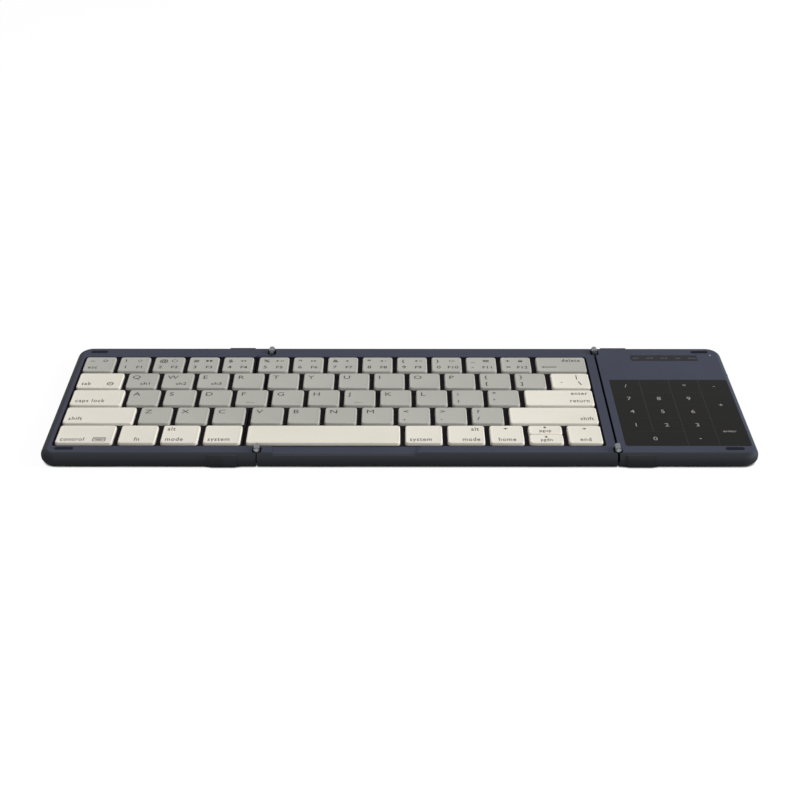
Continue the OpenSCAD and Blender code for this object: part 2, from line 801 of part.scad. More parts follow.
// Shells of the left leaf
module left_bottom_case() {
    color("#2b2e38")
        difference() {
            union() {
                difference() {
                    intersection() {
                        left_block();
                        between(0, part_z);
                    }
                    slab(floor_z, part_z + 1) left_plan(wall_t, seam_wall_t);
                }
                slab(part_z - lip_h, part_z + lip_h) left_lip();
                case_ribs(left_x + wall_t, left_axis_x - seam_reach, 5);
                bosses(hinge_screws(left_axis_x, -1), boss_r, bracket_z);
                bosses(end_screws(left_x + end_screw_in), boss_r, part_z);
            }
            for (end = [-1, 1]) notch(left_axis_x, end, floor_z);
            screw_holes(left_screws_at);
        }
}

module left_top_frame() {
    color("#3a3f4c")
        difference() {
            union() {
                difference() {
                    intersection() {
                        left_block();
                        between(part_z, big);
                    }
                    slab(part_z - 1, web_low_z) left_plan(wall_t, seam_wall_t);
                    rebate() left_plan(rebate_in, seam_wall_t);
                }
                for (p = end_screws(left_x + end_screw_in))
                    translate([p[0], p[1], part_z]) cylinder(r = boss_r, h = web_low_z - part_z + tiny);
            }
            slab(web_top_z, deck_z + 1)
                translate([well_left_x, well_front_y])
                    rounded_rect(left_leaf_w, well_rear_y - well_front_y, well_corner_r);
            key_holes(left_keys);
            for (end = [-1, 1]) notch(left_axis_x, end, part_z - 1);
            bumper_shape(left_bumper_x, fit_clear, deck_z + 1);
            screw_holes(left_screws_at);
        }
}

// The stretch of a leaf's plan that lies under the key well
module under_keys() {
    intersection() {
        children();
        translate([-big / 2, well_front_y + plate_in])
            square([big, well_rear_y - well_front_y - 2 * plate_in]);
    }
}

module left_key_plate() {
    color("silver") {
        slab(plate_z, membrane_z) under_keys() left_plan(wall_t + inner_clear, seam_wall_t + inner_clear);
        plate_hooks(left_keys);
    }
}

module left_membrane() {
    color("#c9c4a8")
        slab(membrane_z, pad_z)
            difference() {
                under_keys() left_plan(wall_t + film_in, seam_wall_t + film_in);
                hook_slots(left_keys);
            }
}

module left_domes() {
    color("#e8e6e0") domes(left_keys, dome_base_r, dome_top_r);
}

module left_scissors() {
    color("#e4e2da") scissors(left_keys);
}

module left_feet() {
    color("#191a1c") {
        for (end = [-1, 1]) {
            wrap_foot(left_axis_x - left_wrap_off - wrap_w, end);
            thin_foot(left_axis_x - left_wrap_off - foot_end - foot_len, end);
            thin_foot(left_x + foot_end, end);
        }
    }
}

module left_screws() {
    color("#8a8d92") screws(left_screws_at);
}

module left_hinge_brackets() {
    color("#c9ccd1") leaf_brackets(left_axis_x, -1);
}

module left_bumpers() {
    color("#141517") bumper_shape(left_bumper_x, 0, deck_z + bumper_proud);
}

// Shells of the centre leaf
module centre_bottom_case() {
    color("#2b2e38")
        difference() {
            union() {
                difference() {
                    intersection() {
                        centre_block();
                        between(0, part_z);
                    }
                    slab(floor_z, part_z + 1) centre_plan(wall_t, seam_wall_t);
                }
                slab(part_z - lip_h, part_z + lip_h) centre_lip();
                case_ribs(left_axis_x + seam_reach, right_axis_x - wall_t, 9);
                bosses(centre_screws_at, boss_r, bracket_z);
            }
            for (end = [-1, 1]) {
                notch(left_axis_x, end, floor_z);
                notch(right_axis_x, end, floor_z);
            }
            screw_holes(centre_screws_at);
        }
}

// A finger scoop in front of the space bar, from the key well to the front edge. Its ends slant.
scoop_x = left_axis_x + 6.5;

module finger_scoop() {
    left_slant = 1;
    right_slant = 3.5;
    rear = well_front_y + 1;
    front = -rear_y - 1;
    slab(deck_z - scoop_t, deck_z + 1)
        polygon([
            [scoop_x, rear], [scoop_x + left_slant, front],
            [scoop_x + scoop_len - right_slant, front], [scoop_x + scoop_len, rear]
        ]);
}

module centre_top_frame() {
    color("#3a3f4c")
        difference() {
            intersection() {
                centre_block();
                between(part_z, big);
            }
            slab(part_z - 1, web_low_z) centre_plan(wall_t, seam_wall_t);
            rebate() centre_plan(rebate_in, seam_wall_t);
            slab(web_top_z, deck_z + 1)
                translate([well_left_x, well_front_y])
                    rounded_rect(well_right_x - well_left_x, well_rear_y - well_front_y, well_corner_r);
            key_holes(concat(centre_block_keys, [arrow_pair]));
            for (end = [-1, 1]) {
                notch(left_axis_x, end, part_z - 1);
                notch(right_axis_x, end, part_z - 1);
            }
            finger_scoop();
            screw_holes(centre_screws_at);
        }
}

module centre_key_plate() {
    color("silver") {
        slab(plate_z, membrane_z) under_keys() centre_plan(wall_t + inner_clear, seam_wall_t + inner_clear);
        plate_hooks(centre_block_keys);
    }
}

module centre_membrane() {
    color("#c9c4a8")
        slab(membrane_z, pad_z)
            difference() {
                under_keys() centre_plan(wall_t + film_in, seam_wall_t + film_in);
                hook_slots(centre_block_keys);
            }
}

module centre_domes() {
    color("#e8e6e0") {
        domes(centre_block_keys, dome_base_r, dome_top_r);
        domes([arrow_down, arrow_up], small_dome_base_r, small_dome_top_r);
    }
}

module centre_scissors() {
    color("#e4e2da") scissors(centre_block_keys);
}

module centre_feet() {
    color("#191a1c")
        for (end = [-1, 1]) {
            thin_foot(left_axis_x + foot_off, end);
            thin_foot(right_axis_x - foot_off - foot_len, end);
        }
}

module centre_screws() {
    color("#8a8d92") screws(centre_screws_at);
}

module centre_hinge_brackets() {
    color("#c9ccd1")
        for (end = [-1, 1]) {
            hinge_bracket(left_axis_x, 1, end, end);
            hinge_bracket(right_axis_x, -1, end, end);
        }
}

module hinge_pins() {
    color("#d8dade")
        for (x = [left_axis_x, right_axis_x], end = [-1, 1])
            hinge_pin(x, end);
}

// Right leaf
panel_x0 = right_x - panel_margin - panel_w;
panel_y0 = panel_front_d - rear_y;
panel_corner_r = 1.1;
window_x0 = right_axis_x + window_off;
window_y0 = rear_y - window_rear - window_d;
window_t = 0.5;
window_corner_r = 0.9;
lens_x = right_x - lens_off;
lens_y = rear_y - lens_rear;
lens_low_z = board_z + board_t + 0.8;
socket_x = (right_axis_x + right_x) / 2;
socket_z = part_z + 0.1;
socket_y = rear_y - 0.4;
switch_y = 28;
switch_z = part_z + 0.2;
switch_w = 3;
switch_hgt = 1.4;
deck_t = 1.2;

// The board stands on posts behind the battery. A chip is [place along X, place along Y, width,
// depth, height], counted from the board's front left corner.
board_x = right_axis_x + 15;
board_w = right_x - 4 - board_x;
board_d = 24;
board_in = 5;
board_y = rear_y - board_in - board_d;
post_r = 1.5;
board_posts = [
    for (x = [board_x + 2, board_x + board_w - 10], y = [board_y + 2, board_y + board_d - 7]) [x, y]
];
board_chips = [
    [9, 3, 7, 7, 0.9],
    [22, 4, 9, 6, 1.2],
    [34, 4, 3.2, 2.5, 0.8],
    [6, 13, 4, 3, 1],
    [34, 13, 2, 1.2, 0.6]
];

// The battery lies between the hinge brackets and the leaf's end, on the case's floor
battery_x = right_axis_x + 8;
battery_y = 14 - rear_y;
battery_w = right_x - 6 - battery_x;
battery_seal = 3;
battery_corner_r = 1.5;

// Bosses under the deck: the first two stand on the hinge brackets, the others on the case's bosses
function deck_boss_z(i) = i < 2 ? bracket_z + bracket_t : part_z;

module pill(w, h) {
    translate([-w / 2 + h / 2, -h / 2]) square([w - h, h]);
    for (s = [-1, 1]) translate([s * (w - h) / 2, 0]) circle(r = h / 2);
}

module socket_opening() {
    run_y(rear_y - socket_d - 1, rear_y + 1)
        translate([socket_x, socket_z]) pill(socket_w + 2 * fit_clear, socket_h + 2 * fit_clear);
}

module switch_opening() {
    run_x(right_x - wall_t - 1, right_x + 1)
        translate([switch_y - switch_travel / 2, switch_z])
            pill(switch_w + switch_travel + 2 * fit_clear, switch_hgt + 2 * fit_clear);
}

module right_bottom_case() {
    color("#2b2e38")
        difference() {
            union() {
                difference() {
                    intersection() {
                        right_block();
                        between(0, part_z);
                    }
                    slab(floor_z, part_z + 1) right_plan(wall_t, seam_wall_t);
                }
                slab(part_z - lip_h, part_z + lip_h) right_lip();
                bosses(hinge_screws(right_axis_x, 1), boss_r, bracket_z);
                bosses(end_screws(right_x - end_screw_in), boss_r, part_z);
                bosses(board_posts, post_r, board_z);
            }
            for (end = [-1, 1]) notch(right_axis_x, end, floor_z);
            screw_holes(right_screws_at);
            socket_opening();
            switch_opening();
        }
}

// The plan of a pocket for a plate, with its clearance
module pocket_plan(w, d, r) {
    translate([-fit_clear, -fit_clear]) rounded_rect(w + 2 * fit_clear, d + 2 * fit_clear, r + fit_clear);
}

module right_top_deck() {
    color("#3a3f4c")
        difference() {
            union() {
                difference() {
                    intersection() {
                        right_block();
                        between(part_z, big);
                    }
                    slab(part_z - 1, deck_z - panel_t - deck_t) right_plan(wall_t, seam_wall_t);
                    rebate() right_plan(rebate_in, seam_wall_t);
                }
                for (i = [0:3])
                    translate([right_screws_at[i][0], right_screws_at[i][1], deck_boss_z(i)])
                        cylinder(r = boss_r, h = web_top_z - deck_boss_z(i));
            }
            slab(deck_z - panel_t, deck_z + 1)
                translate([panel_x0, panel_y0]) pocket_plan(panel_w, panel_d, panel_corner_r);
            slab(deck_z - window_t, deck_z + 1)
                translate([window_x0, window_y0]) pocket_plan(window_w, window_d, window_corner_r);
            translate([lens_x, lens_y, part_z]) cylinder(r = lens_r + fit_clear, h = deck_z);
            for (end = [-1, 1]) notch(right_axis_x, end, part_z - 1);
            bumper_shape(right_bumper_x, fit_clear, deck_z + 1);
            screw_holes(right_screws_at);
            socket_opening();
            switch_opening();
        }
}

module touch_panel() {
    color("#16181b")
        slab(deck_z - panel_t, deck_z + panel_proud)
            translate([panel_x0, panel_y0]) rounded_rect(panel_w, panel_d, panel_corner_r);
}

module status_window() {
    color("#101114")
        slab(deck_z - window_t, deck_z + tiny)
            translate([window_x0, window_y0]) rounded_rect(window_w, window_d, window_corner_r);
}

module status_lens() {
    color("#dfe6ea")
        translate([lens_x, lens_y, lens_low_z]) {
            cylinder(r = lens_r, h = deck_z + panel_proud - lens_low_z);
            cylinder(r = 2 * lens_r, h = deck_z - panel_t - deck_t - lens_low_z - link_seat);
        }
}

// The socket sits in a notch, half sunk in the board
module main_board() {
    color("#1f5a36") {
        difference() {
            slab(board_z, board_z + board_t) translate([board_x, board_y]) rounded_rect(board_w, board_d, 1);
            translate([socket_x - socket_w / 2 - fit_clear, socket_y - socket_d - fit_clear, 0])
                cube([socket_w + 2 * fit_clear, socket_d + 2 * fit_clear, deck_z]);
            translate([right_screws_at[3][0], right_screws_at[3][1], 0])
                cylinder(r = boss_r + inner_clear, h = deck_z);
        }
        for (c = board_chips)
            translate([board_x + c[0], board_y + c[1], board_z + board_t - tiny])
                cube([c[2], c[3], c[4] + tiny]);
    }
}

// A pouch cell: its body and the flat seal along its rear edge
module battery() {
    color("#9aa0a6") {
        slab(floor_z, floor_z + battery_t)
            translate([battery_x, battery_y])
                rounded_rect(battery_w, battery_d - battery_seal, battery_corner_r);
        slab(floor_z, floor_z + battery_t / 2)
            translate([battery_x + 2, battery_y]) square([battery_w - 4, battery_d]);
    }
}

// The slider: its button stands in the end wall, and a wider tab behind the wall keeps it in
module power_switch() {
    tab_t = 0.6;
    tab_x = right_x - wall_t - 1;
    tab_lap = 0.8;
    button_proud = 0.1;
    color("#1c1d20") {
        run_x(tab_x, right_x + button_proud) translate([switch_y, switch_z]) pill(switch_w, switch_hgt);
        run_x(tab_x, tab_x + tab_t)
            translate([switch_y, switch_z]) pill(switch_w + 2 * tab_lap, switch_hgt + tab_lap);
    }
}

// The socket: a drawn steel shell, its back, and the tongue that carries the contacts
module charging_port() {
    shell_t = 0.3;
    back_t = 1;
    tongue_w = 6.7;
    tongue_t = 0.7;
    tongue_in = 1.2;
    back_y = socket_y - socket_d;
    color("#b9bcc2") {
        run_y(back_y, socket_y)
            translate([socket_x, socket_z])
                difference() {
                    pill(socket_w, socket_h);
                    pill(socket_w - 2 * shell_t, socket_h - 2 * shell_t);
                }
        run_y(back_y, back_y + back_t)
            translate([socket_x, socket_z]) pill(socket_w - shell_t, socket_h - shell_t);
        run_y(back_y + back_t / 2, socket_y - tongue_in)
            translate([socket_x, socket_z]) square([tongue_w, tongue_t], center = true);
    }
}

module right_hinge_brackets() {
    color("#c9ccd1") leaf_brackets(right_axis_x, 1);
}

module right_feet() {
    color("#191a1c")
        for (end = [-1, 1]) {
            wrap_foot(right_axis_x + right_wrap_off, end);
            thin_foot(right_x - foot_end - foot_len, end);
        }
}

module right_screws() {
    color("#8a8d92") screws(right_screws_at);
}

module right_bumpers() {
    color("#141517") bumper_shape(right_bumper_x, 0, deck_z + bumper_proud);
}

// Keys of the left leaf
grey = "#a8a7a0";
cream = "#dedacb";
module escape_key() { keys([left_wide(0)], grey); }
module tab_key() { keys([left_wide(1)], cream); }
module caps_key() { keys([left_wide(2)], cream); }
module shift_key_left() { keys([left_wide(3)], cream); }
module control_key() { keys([control], cream); }
module fn_key() { keys([fn_lock], cream); }
module alt_key_left() { keys([alt_left], cream); }
module system_key_left() { keys([system_left], cream); }
module digit_keys_left() { keys(left_bank(0), grey); }
module top_letter_keys_left() { keys(left_bank(1), grey); }
module home_letter_keys_left() { keys(left_bank(2), grey, 3); }
module low_letter_keys_left() { keys(left_bank(3), grey); }

// Keys of the centre leaf
module delete_key() { keys([centre_wide(0)], grey); }
module backslash_key() { keys([centre_wide(1)], cream); }
module enter_key() { keys([centre_wide(2)], cream); }
module shift_key_right() { keys([centre_wide(3)], cream); }
module space_bar() { keys([space], cream); }
module system_key_right() { keys([system_right], cream); }
module alt_key_right() { keys([alt_right], cream); }
module arrow_left_key() { keys([arrow_left], cream); }
module arrow_up_key() { keys([arrow_up], cream); }
module arrow_down_key() { keys([arrow_down], cream); }
module arrow_right_key() { keys([arrow_right], cream); }
module digit_keys_centre() { keys(centre_bank(0), grey); }
module top_letter_keys_centre() { keys(centre_bank(1), grey); }
module home_letter_keys_centre() { keys(centre_bank(2), grey, 2); }
module low_letter_keys_centre() { keys(centre_bank(3), grey); }

centre_bottom_case();
centre_top_frame();
centre_key_plate();
centre_membrane();
centre_domes();
centre_scissors();
centre_feet();
centre_screws();
centre_hinge_brackets();
hinge_pins();
left_bottom_case();
left_top_frame();
left_key_plate();
left_membrane();
left_domes();
left_scissors();
left_feet();
left_screws();
left_hinge_brackets();
left_bumpers();
right_bottom_case();
right_top_deck();
touch_panel();
status_window();
status_lens();
main_board();
battery();
power_switch();
charging_port();
right_hinge_brackets();
right_feet();
right_screws();
right_bumpers();
escape_key();
tab_key();
caps_key();
shift_key_left();
control_key();
fn_key();
alt_key_left();
system_key_left();
digit_keys_left();
top_letter_keys_left();
home_letter_keys_left();
low_letter_keys_left();
delete_key();
backslash_key();
enter_key();
shift_key_right();
space_bar();
system_key_right();
alt_key_right();
arrow_left_key();
arrow_up_key();
arrow_down_key();
arrow_right_key();
digit_keys_centre();
top_letter_keys_centre();
home_letter_keys_centre();
low_letter_keys_centre();
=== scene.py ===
# %% [markdown]
# A folding keyboard in three leaves, dressed for a picture. The shells, the hinges and every moving part
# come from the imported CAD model, which stays where it is. This lesson gives each of them its finish, and
# models what a CAD file leaves plain: the 64 keycaps with their soft edges, the printed legends and the
# print under the glass of the touch panel.

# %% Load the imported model
import json
import math

import bmesh
import bpy
from mathutils import Matrix, Vector

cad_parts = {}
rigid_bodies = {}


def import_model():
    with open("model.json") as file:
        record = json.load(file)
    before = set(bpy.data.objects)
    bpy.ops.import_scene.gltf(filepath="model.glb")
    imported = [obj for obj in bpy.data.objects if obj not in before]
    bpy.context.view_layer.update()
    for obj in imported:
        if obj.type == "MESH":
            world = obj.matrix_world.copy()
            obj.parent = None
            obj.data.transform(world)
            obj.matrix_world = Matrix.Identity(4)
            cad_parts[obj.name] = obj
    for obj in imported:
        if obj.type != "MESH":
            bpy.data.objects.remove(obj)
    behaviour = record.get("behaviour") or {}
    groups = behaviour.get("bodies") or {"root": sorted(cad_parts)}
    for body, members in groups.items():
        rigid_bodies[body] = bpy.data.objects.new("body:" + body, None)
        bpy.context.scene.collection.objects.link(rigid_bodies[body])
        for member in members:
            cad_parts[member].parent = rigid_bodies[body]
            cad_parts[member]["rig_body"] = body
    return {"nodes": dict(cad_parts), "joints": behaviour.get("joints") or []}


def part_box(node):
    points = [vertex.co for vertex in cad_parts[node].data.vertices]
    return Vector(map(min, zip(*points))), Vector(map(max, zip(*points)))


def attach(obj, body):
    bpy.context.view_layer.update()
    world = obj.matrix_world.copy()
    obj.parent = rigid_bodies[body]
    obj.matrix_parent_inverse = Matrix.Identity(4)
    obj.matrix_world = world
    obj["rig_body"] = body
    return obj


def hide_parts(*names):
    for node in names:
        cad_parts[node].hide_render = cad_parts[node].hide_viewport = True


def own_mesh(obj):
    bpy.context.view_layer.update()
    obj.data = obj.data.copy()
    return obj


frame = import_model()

MM = 0.001
scene = bpy.context.scene
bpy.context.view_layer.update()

# %% [markdown]
# The camera comes first, because every later choice is judged through it. The picture was taken from the
# front, about 29 degrees above the table, with a long lens, so parallel edges stay nearly parallel. The
# lens and the place were worked out from the corners of the keys, whose pitch is known. A camera looks
# along its own -Z, so it is tipped up by 90 degrees less the angle below the horizon, then turned about Z.

# %% Camera
CAMERA_PLACE = Vector((-1.12, -633.9, 363.79)) * MM
CAMERA_DOWN = math.radians(29.467)
CAMERA_TURN = math.radians(-0.117)
CAMERA_ROLL = math.radians(0.088)
LENS_MM = 67.31
SENSOR_MM = 36

bpy.ops.object.camera_add(location=CAMERA_PLACE)
camera = bpy.context.object
camera.name = "camera"
camera.data.lens = LENS_MM
camera.data.sensor_width = SENSOR_MM
camera.data.clip_start = 10 * MM
tilt = Matrix.Rotation(math.pi / 2 - CAMERA_DOWN, 4, "X")
camera.rotation_euler = (
    Matrix.Rotation(CAMERA_TURN, 4, "Z") @ tilt @ Matrix.Rotation(CAMERA_ROLL, 4, "Z")
).to_euler()
scene.camera = camera
print("camera", round(CAMERA_PLACE.length, 3), "m from the middle of the keyboard")

# %% [markdown]
# Four small helpers serve every material. Colours are written as the hex values that a paint program shows,
# which are sRGB, while Blender's shaders work in linear light, so one function converts them. Another adds
# a node, sets its properties, and fills each of its sockets with a value or with a link. The last two start
# an empty material, and turn the size of a grain into the scale that a noise asks for.

# %% Colour and node helpers
def linear(hex_code):
    channels = [int(hex_code[i:i + 2], 16) / 255 for i in (1, 3, 5)]
    bent = [c / 12.92 if c <= 0.04045 else ((c + 0.055) / 1.055) ** 2.4 for c in channels]
    return (*bent, 1.0)


def add_node(tree, kind, sockets=None, **settings):
    node = tree.nodes.new(kind)
    for name, value in settings.items():
        setattr(node, name, value)
    for name, value in (sockets or {}).items():
        if isinstance(value, bpy.types.NodeSocket):
            tree.links.new(value, node.inputs[name])
        else:
            node.inputs[name].default_value = value
    return node


def new_material(name):
    material = bpy.data.materials.new(name)
    material.use_nodes = True
    material.node_tree.nodes.clear()
    return material, material.node_tree


def grains_per_metre(size_mm):
    return 1 / (size_mm * MM)


print("white is", [round(c, 3) for c in linear("#ffffff")])

# %% [markdown]
# The stage is a pale floor under a pale sky. The picture has a plain white ground. More light would bleach
# the keys, so the white comes from the Light Path node: rays that come from the camera, from gloss or
# through glass see pure white, and only the rays that light the keyboard see the weaker sky. The floor
# keeps a part of its own shading, so the shadow still grounds it. Its white fades where little of what is
# above it is open, so no white line shines up through the narrow seams between the leaves.

# %% World and floor
SKY_STRENGTH = 0.2
FLOOR_SIZE = 12
FLOOR_COLOUR = "#c9c9c9"
FLOOR_WHITE_SHARE = 0.86
FLOOR_GLOW = 1.09
FLOOR_FADE_REACH = 2 * MM
# Shares of what is open above a point: at the first the floor's white is gone, at the second it is full
SEAM_OPEN, EDGE_OPEN = 0.25, 0.5

world = bpy.data.worlds.new("pale_sky")
scene.world = world
world.use_nodes = True
sky = world.node_tree
sky.nodes.clear()
sky_path = add_node(sky, "ShaderNodeLightPath")
seen_or_gloss = add_node(
    sky, "ShaderNodeMath", {0: sky_path.outputs["Is Camera Ray"], 1: sky_path.outputs["Is Glossy Ray"]},
    operation="MAXIMUM")
seen = add_node(
    sky, "ShaderNodeMath", {0: seen_or_gloss.outputs[0], 1: sky_path.outputs["Is Transmission Ray"]},
    operation="MAXIMUM")
sky_strength = add_node(
    sky, "ShaderNodeMapRange", {"Value": seen.outputs[0], "To Min": SKY_STRENGTH, "To Max": 1.0})
sky_light = add_node(
    sky, "ShaderNodeBackground", {"Color": linear("#ffffff"), "Strength": sky_strength.outputs[0]})
add_node(sky, "ShaderNodeOutputWorld", {"Surface": sky_light.outputs[0]})

bpy.ops.object.select_all(action="DESELECT")
bpy.ops.mesh.primitive_plane_add(size=FLOOR_SIZE)
floor = bpy.context.object
floor.name = "floor"
floor_paint, tree = new_material("matt_white_table")
floor_path = add_node(tree, "ShaderNodeLightPath")
floor_diffuse = add_node(tree, "ShaderNodeBsdfDiffuse", {"Color": linear(FLOOR_COLOUR)})
floor_open = add_node(tree, "ShaderNodeAmbientOcclusion", {"Distance": FLOOR_FADE_REACH})
floor_glow = add_node(
    tree, "ShaderNodeMapRange",
    {"Value": floor_open.outputs["AO"], "From Min": SEAM_OPEN, "From Max": EDGE_OPEN, "To Max": FLOOR_GLOW})
floor_white = add_node(
    tree, "ShaderNodeEmission", {"Color": linear("#ffffff"), "Strength": floor_glow.outputs[0]})
floor_share = add_node(
    tree, "ShaderNodeMapRange", {"Value": floor_path.outputs["Is Camera Ray"], "To Max": FLOOR_WHITE_SHARE})
floor_mix = add_node(
    tree, "ShaderNodeMixShader",
    {0: floor_share.outputs[0], 1: floor_diffuse.outputs[0], 2: floor_white.outputs[0]})
add_node(tree, "ShaderNodeOutputMaterial", {"Surface": floor_mix.outputs[0]})
floor.data.materials.append(floor_paint)
print("floor", FLOOR_SIZE, "m wide")

# %% [markdown]
# Three soft boxes light it, as in a small product studio. The one at the right stands low, so it whitens
# the sides of the keys that face it, and far off, so it lights both ends alike. The one behind the camera
# is weak and opens the front walls, and the one overhead lights the crowns. All are aimed at the middle.

# %% Soft boxes
SOFT_BOXES = [
    ("softbox_top", (-0.1, 0.3, 1.1), 1.2, 5.0),
    ("softbox_right", (2.4, -0.2, 1.0), 1.4, 70),
    ("softbox_front", (0.05, -1.2, 0.7), 0.8, 4.3),
]

for name, place, size, power in SOFT_BOXES:
    bpy.ops.object.light_add(type="AREA", location=place)
    lamp = bpy.context.object
    lamp.name = name
    lamp.data.size = size
    lamp.data.energy = power
    lamp.rotation_euler = Vector(place).to_track_quat("Z", "Y").to_euler()
scene.view_settings.view_transform = "Standard"
print(len(SOFT_BOXES), "soft boxes")

# %% [markdown]
# The shells are moulded in ABS, and their mould was spark-eroded, which leaves a fine even grit that
# scatters the highlights. The grit of such a mould is about 0.15 mm across. It would be lost at this
# distance, so it is drawn at 0.35 mm, as shallow bump and as a faint change of roughness. A second, much
# broader noise shifts the colour, for the slight unevenness of a handled surface.

# %% Moulded ABS of the shells
GRIT_MM = 0.35
CLOUD_MM = 45
NOISE_LOW, NOISE_HIGH = 0.35, 0.65
ABS_ROUGHNESS, ABS_GLOSS_SPREAD = 0.55, 0.06
ABS_SPECULAR = 0.1
# A mix node keeps its sockets for numbers and for colours apart, and all but the factor go by their index
NUMBER_A, NUMBER_B = 2, 3
COLOUR_A, COLOUR_B, COLOUR_OUT = 6, 7, 2


def grit_bump(tree, size_mm, height_mm, strength):
    place = add_node(tree, "ShaderNodeTexCoord")
    grit = add_node(
        tree, "ShaderNodeTexNoise", {
            "Vector": place.outputs["Object"], "Scale": grains_per_metre(size_mm),
            "Detail": 3.0, "Roughness": 0.6})
    bump = add_node(
        tree, "ShaderNodeBump",
        {"Height": grit.outputs["Fac"], "Distance": height_mm * MM, "Strength": strength})
    return place, grit, bump


def uneven(tree, place, size_mm, low, high):
    cloud = add_node(
        tree, "ShaderNodeTexNoise",
        {"Vector": place.outputs["Object"], "Scale": grains_per_metre(size_mm), "Detail": 2.0})
    ramp = add_node(
        tree, "ShaderNodeMapRange", {
            "Value": cloud.outputs["Fac"], "From Min": NOISE_LOW, "From Max": NOISE_HIGH,
            "To Min": low, "To Max": high})
    return ramp.outputs[0]


def mix_colours(tree, factor, first, second):
    sockets = {"Factor": factor, COLOUR_A: first, COLOUR_B: second}
    return add_node(tree, "ShaderNodeMix", sockets, data_type="RGBA").outputs[COLOUR_OUT]


def clouded(tree, place, size_mm, first, second):
    return mix_colours(tree, uneven(tree, place, size_mm, 0.0, 1.0), first, second)


def finish_with(tree, **sockets):
    named = {name.replace("_", " "): value for name, value in sockets.items()}
    surface = add_node(tree, "ShaderNodeBsdfPrincipled", named)
    add_node(tree, "ShaderNodeOutputMaterial", {"Surface": surface.outputs[0]})


def moulded_abs(name, hex_code, light_hex, zones=()):
    """A zone is a colour, a function that returns a mask of where it goes, and the gloss it leaves there."""
    material, tree = new_material(name)
    place, grit, bump = grit_bump(tree, GRIT_MM, height_mm=0.02, strength=0.35)
    colour = clouded(tree, place, CLOUD_MM, linear(hex_code), linear(light_hex))
    specular = ABS_SPECULAR
    for zone_hex, mask, zone_specular in zones:
        share = mask(tree, place)
        colour = mix_colours(tree, share, colour, linear(zone_hex))
        mix = add_node(tree, "ShaderNodeMix", {"Factor": share, NUMBER_A: specular, NUMBER_B: zone_specular})
        specular = mix.outputs[0]
    gloss = add_node(
        tree, "ShaderNodeMapRange", {
            "Value": grit.outputs["Fac"],
            "To Min": ABS_ROUGHNESS - ABS_GLOSS_SPREAD, "To Max": ABS_ROUGHNESS + ABS_GLOSS_SPREAD})
    finish_with(
        tree, Base_Color=colour, Roughness=gloss.outputs[0], Normal=bump.outputs[0],
        Specular_IOR_Level=specular)
    return material


print("ABS grit", GRIT_MM, "mm")

# %% [markdown]
# The upper halves are slate, and three darker colours on them are painted shade. Their front, rear and left
# walls are painted a darker and less blue grey for the shade on their rounded edge, and the web between the
# keys and the shut line of the right hinge are painted nearly black for the shade that falls there. One
# formula tells where a point lies: fold the plan into one quarter, measure how far the point lies beyond the
# centre of a rounded rectangle's corner, and compare that with the corner's radius. The places come from
# the frame, so the painted shade follows the shells.

# %% Painted shade on the upper halves
DECK_CORNER_R = 7.5 * MM
WALL_ROUNDING = 3.1 * MM
WELL_CORNER_R = 1.5 * MM
WEB_BELOW_DECK = 0.4 * MM
SHUT_LINE_SHADE_HALF = 0.5 * MM
BLEND = 0.1 * MM
PAST_THE_END = 20 * MM
WELL_MARGIN = Vector((1, 1, 0)) * MM
shell_low, shell_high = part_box("left_top_frame")
right_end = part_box("right_top_deck")[1].x
deck_low = Vector((shell_low.x, shell_low.y, 0))
deck_high = Vector((right_end + PAST_THE_END, shell_high.y, 0))
shut_x = (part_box("centre_top_frame")[1].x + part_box("right_top_deck")[0].x) / 2
well_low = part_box("control_key")[0] - WELL_MARGIN
well_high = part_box("delete_key")[1] + WELL_MARGIN


def corner_distance(tree, place, low, high, radius):
    middle = (low + high) / 2
    quarter = (high - low) / 2 - Vector((radius, radius, 0))
    steps = [
        ("SUBTRACT", (middle.x, middle.y, 0)), ("MULTIPLY", (1, 1, 0)), ("ABSOLUTE", (0, 0, 0)),
        ("SUBTRACT", (quarter.x, quarter.y, 0)), ("MAXIMUM", (0, 0, 0)),
    ]
    point = place.outputs["Object"]
    for operation, value in steps:
        point = add_node(tree, "ShaderNodeVectorMath", {0: point, 1: value}, operation=operation).outputs[0]
    return add_node(tree, "ShaderNodeVectorMath", {0: point}, operation="LENGTH").outputs["Value"]


def blend_over(tree, value, start, low=0.0, high=1.0):
    ramp = add_node(
        tree, "ShaderNodeMapRange",
        {"Value": value, "From Min": start, "From Max": start + BLEND, "To Min": low, "To Max": high})
    return ramp.outputs[0]


# Painted shade: the walls beyond the flat deck, all but the lit right end, are painted a darker grey for the
# shade on their rounding
def painted_wall_shade_mask(tree, place):
    distance = corner_distance(tree, place, deck_low, deck_high, DECK_CORNER_R)
    return blend_over(tree, distance, DECK_CORNER_R - WALL_ROUNDING)


# Painted shade: the web between the keys, below the deck, is painted nearly black for the shade in the key
# well
def painted_web_shade_mask(tree, place):
    distance = corner_distance(tree, place, well_low, well_high, WELL_CORNER_R)
    height = add_node(tree, "ShaderNodeSeparateXYZ", {0: place.outputs["Object"]})
    inside = blend_over(tree, distance, WELL_CORNER_R, 1.0, 0.0)
    below = blend_over(tree, height.outputs["Z"], shell_high.z - WEB_BELOW_DECK, 1.0, 0.0)
    return add_node(tree, "ShaderNodeMath", {0: inside, 1: below}, operation="MULTIPLY").outputs[0]


# Painted shade: a narrow band either side of the right hinge's shut line is painted nearly black for the
# shade on its edges
def painted_shut_line_shade_mask(tree, place):
    across = add_node(tree, "ShaderNodeSeparateXYZ", {0: place.outputs["Object"]})
    offset = add_node(tree, "ShaderNodeMath", {0: across.outputs["X"], 1: shut_x}, operation="SUBTRACT")
    distance = add_node(tree, "ShaderNodeMath", {0: offset.outputs[0]}, operation="ABSOLUTE")
    return blend_over(tree, distance.outputs[0], SHUT_LINE_SHADE_HALF, 1.0, 0.0)
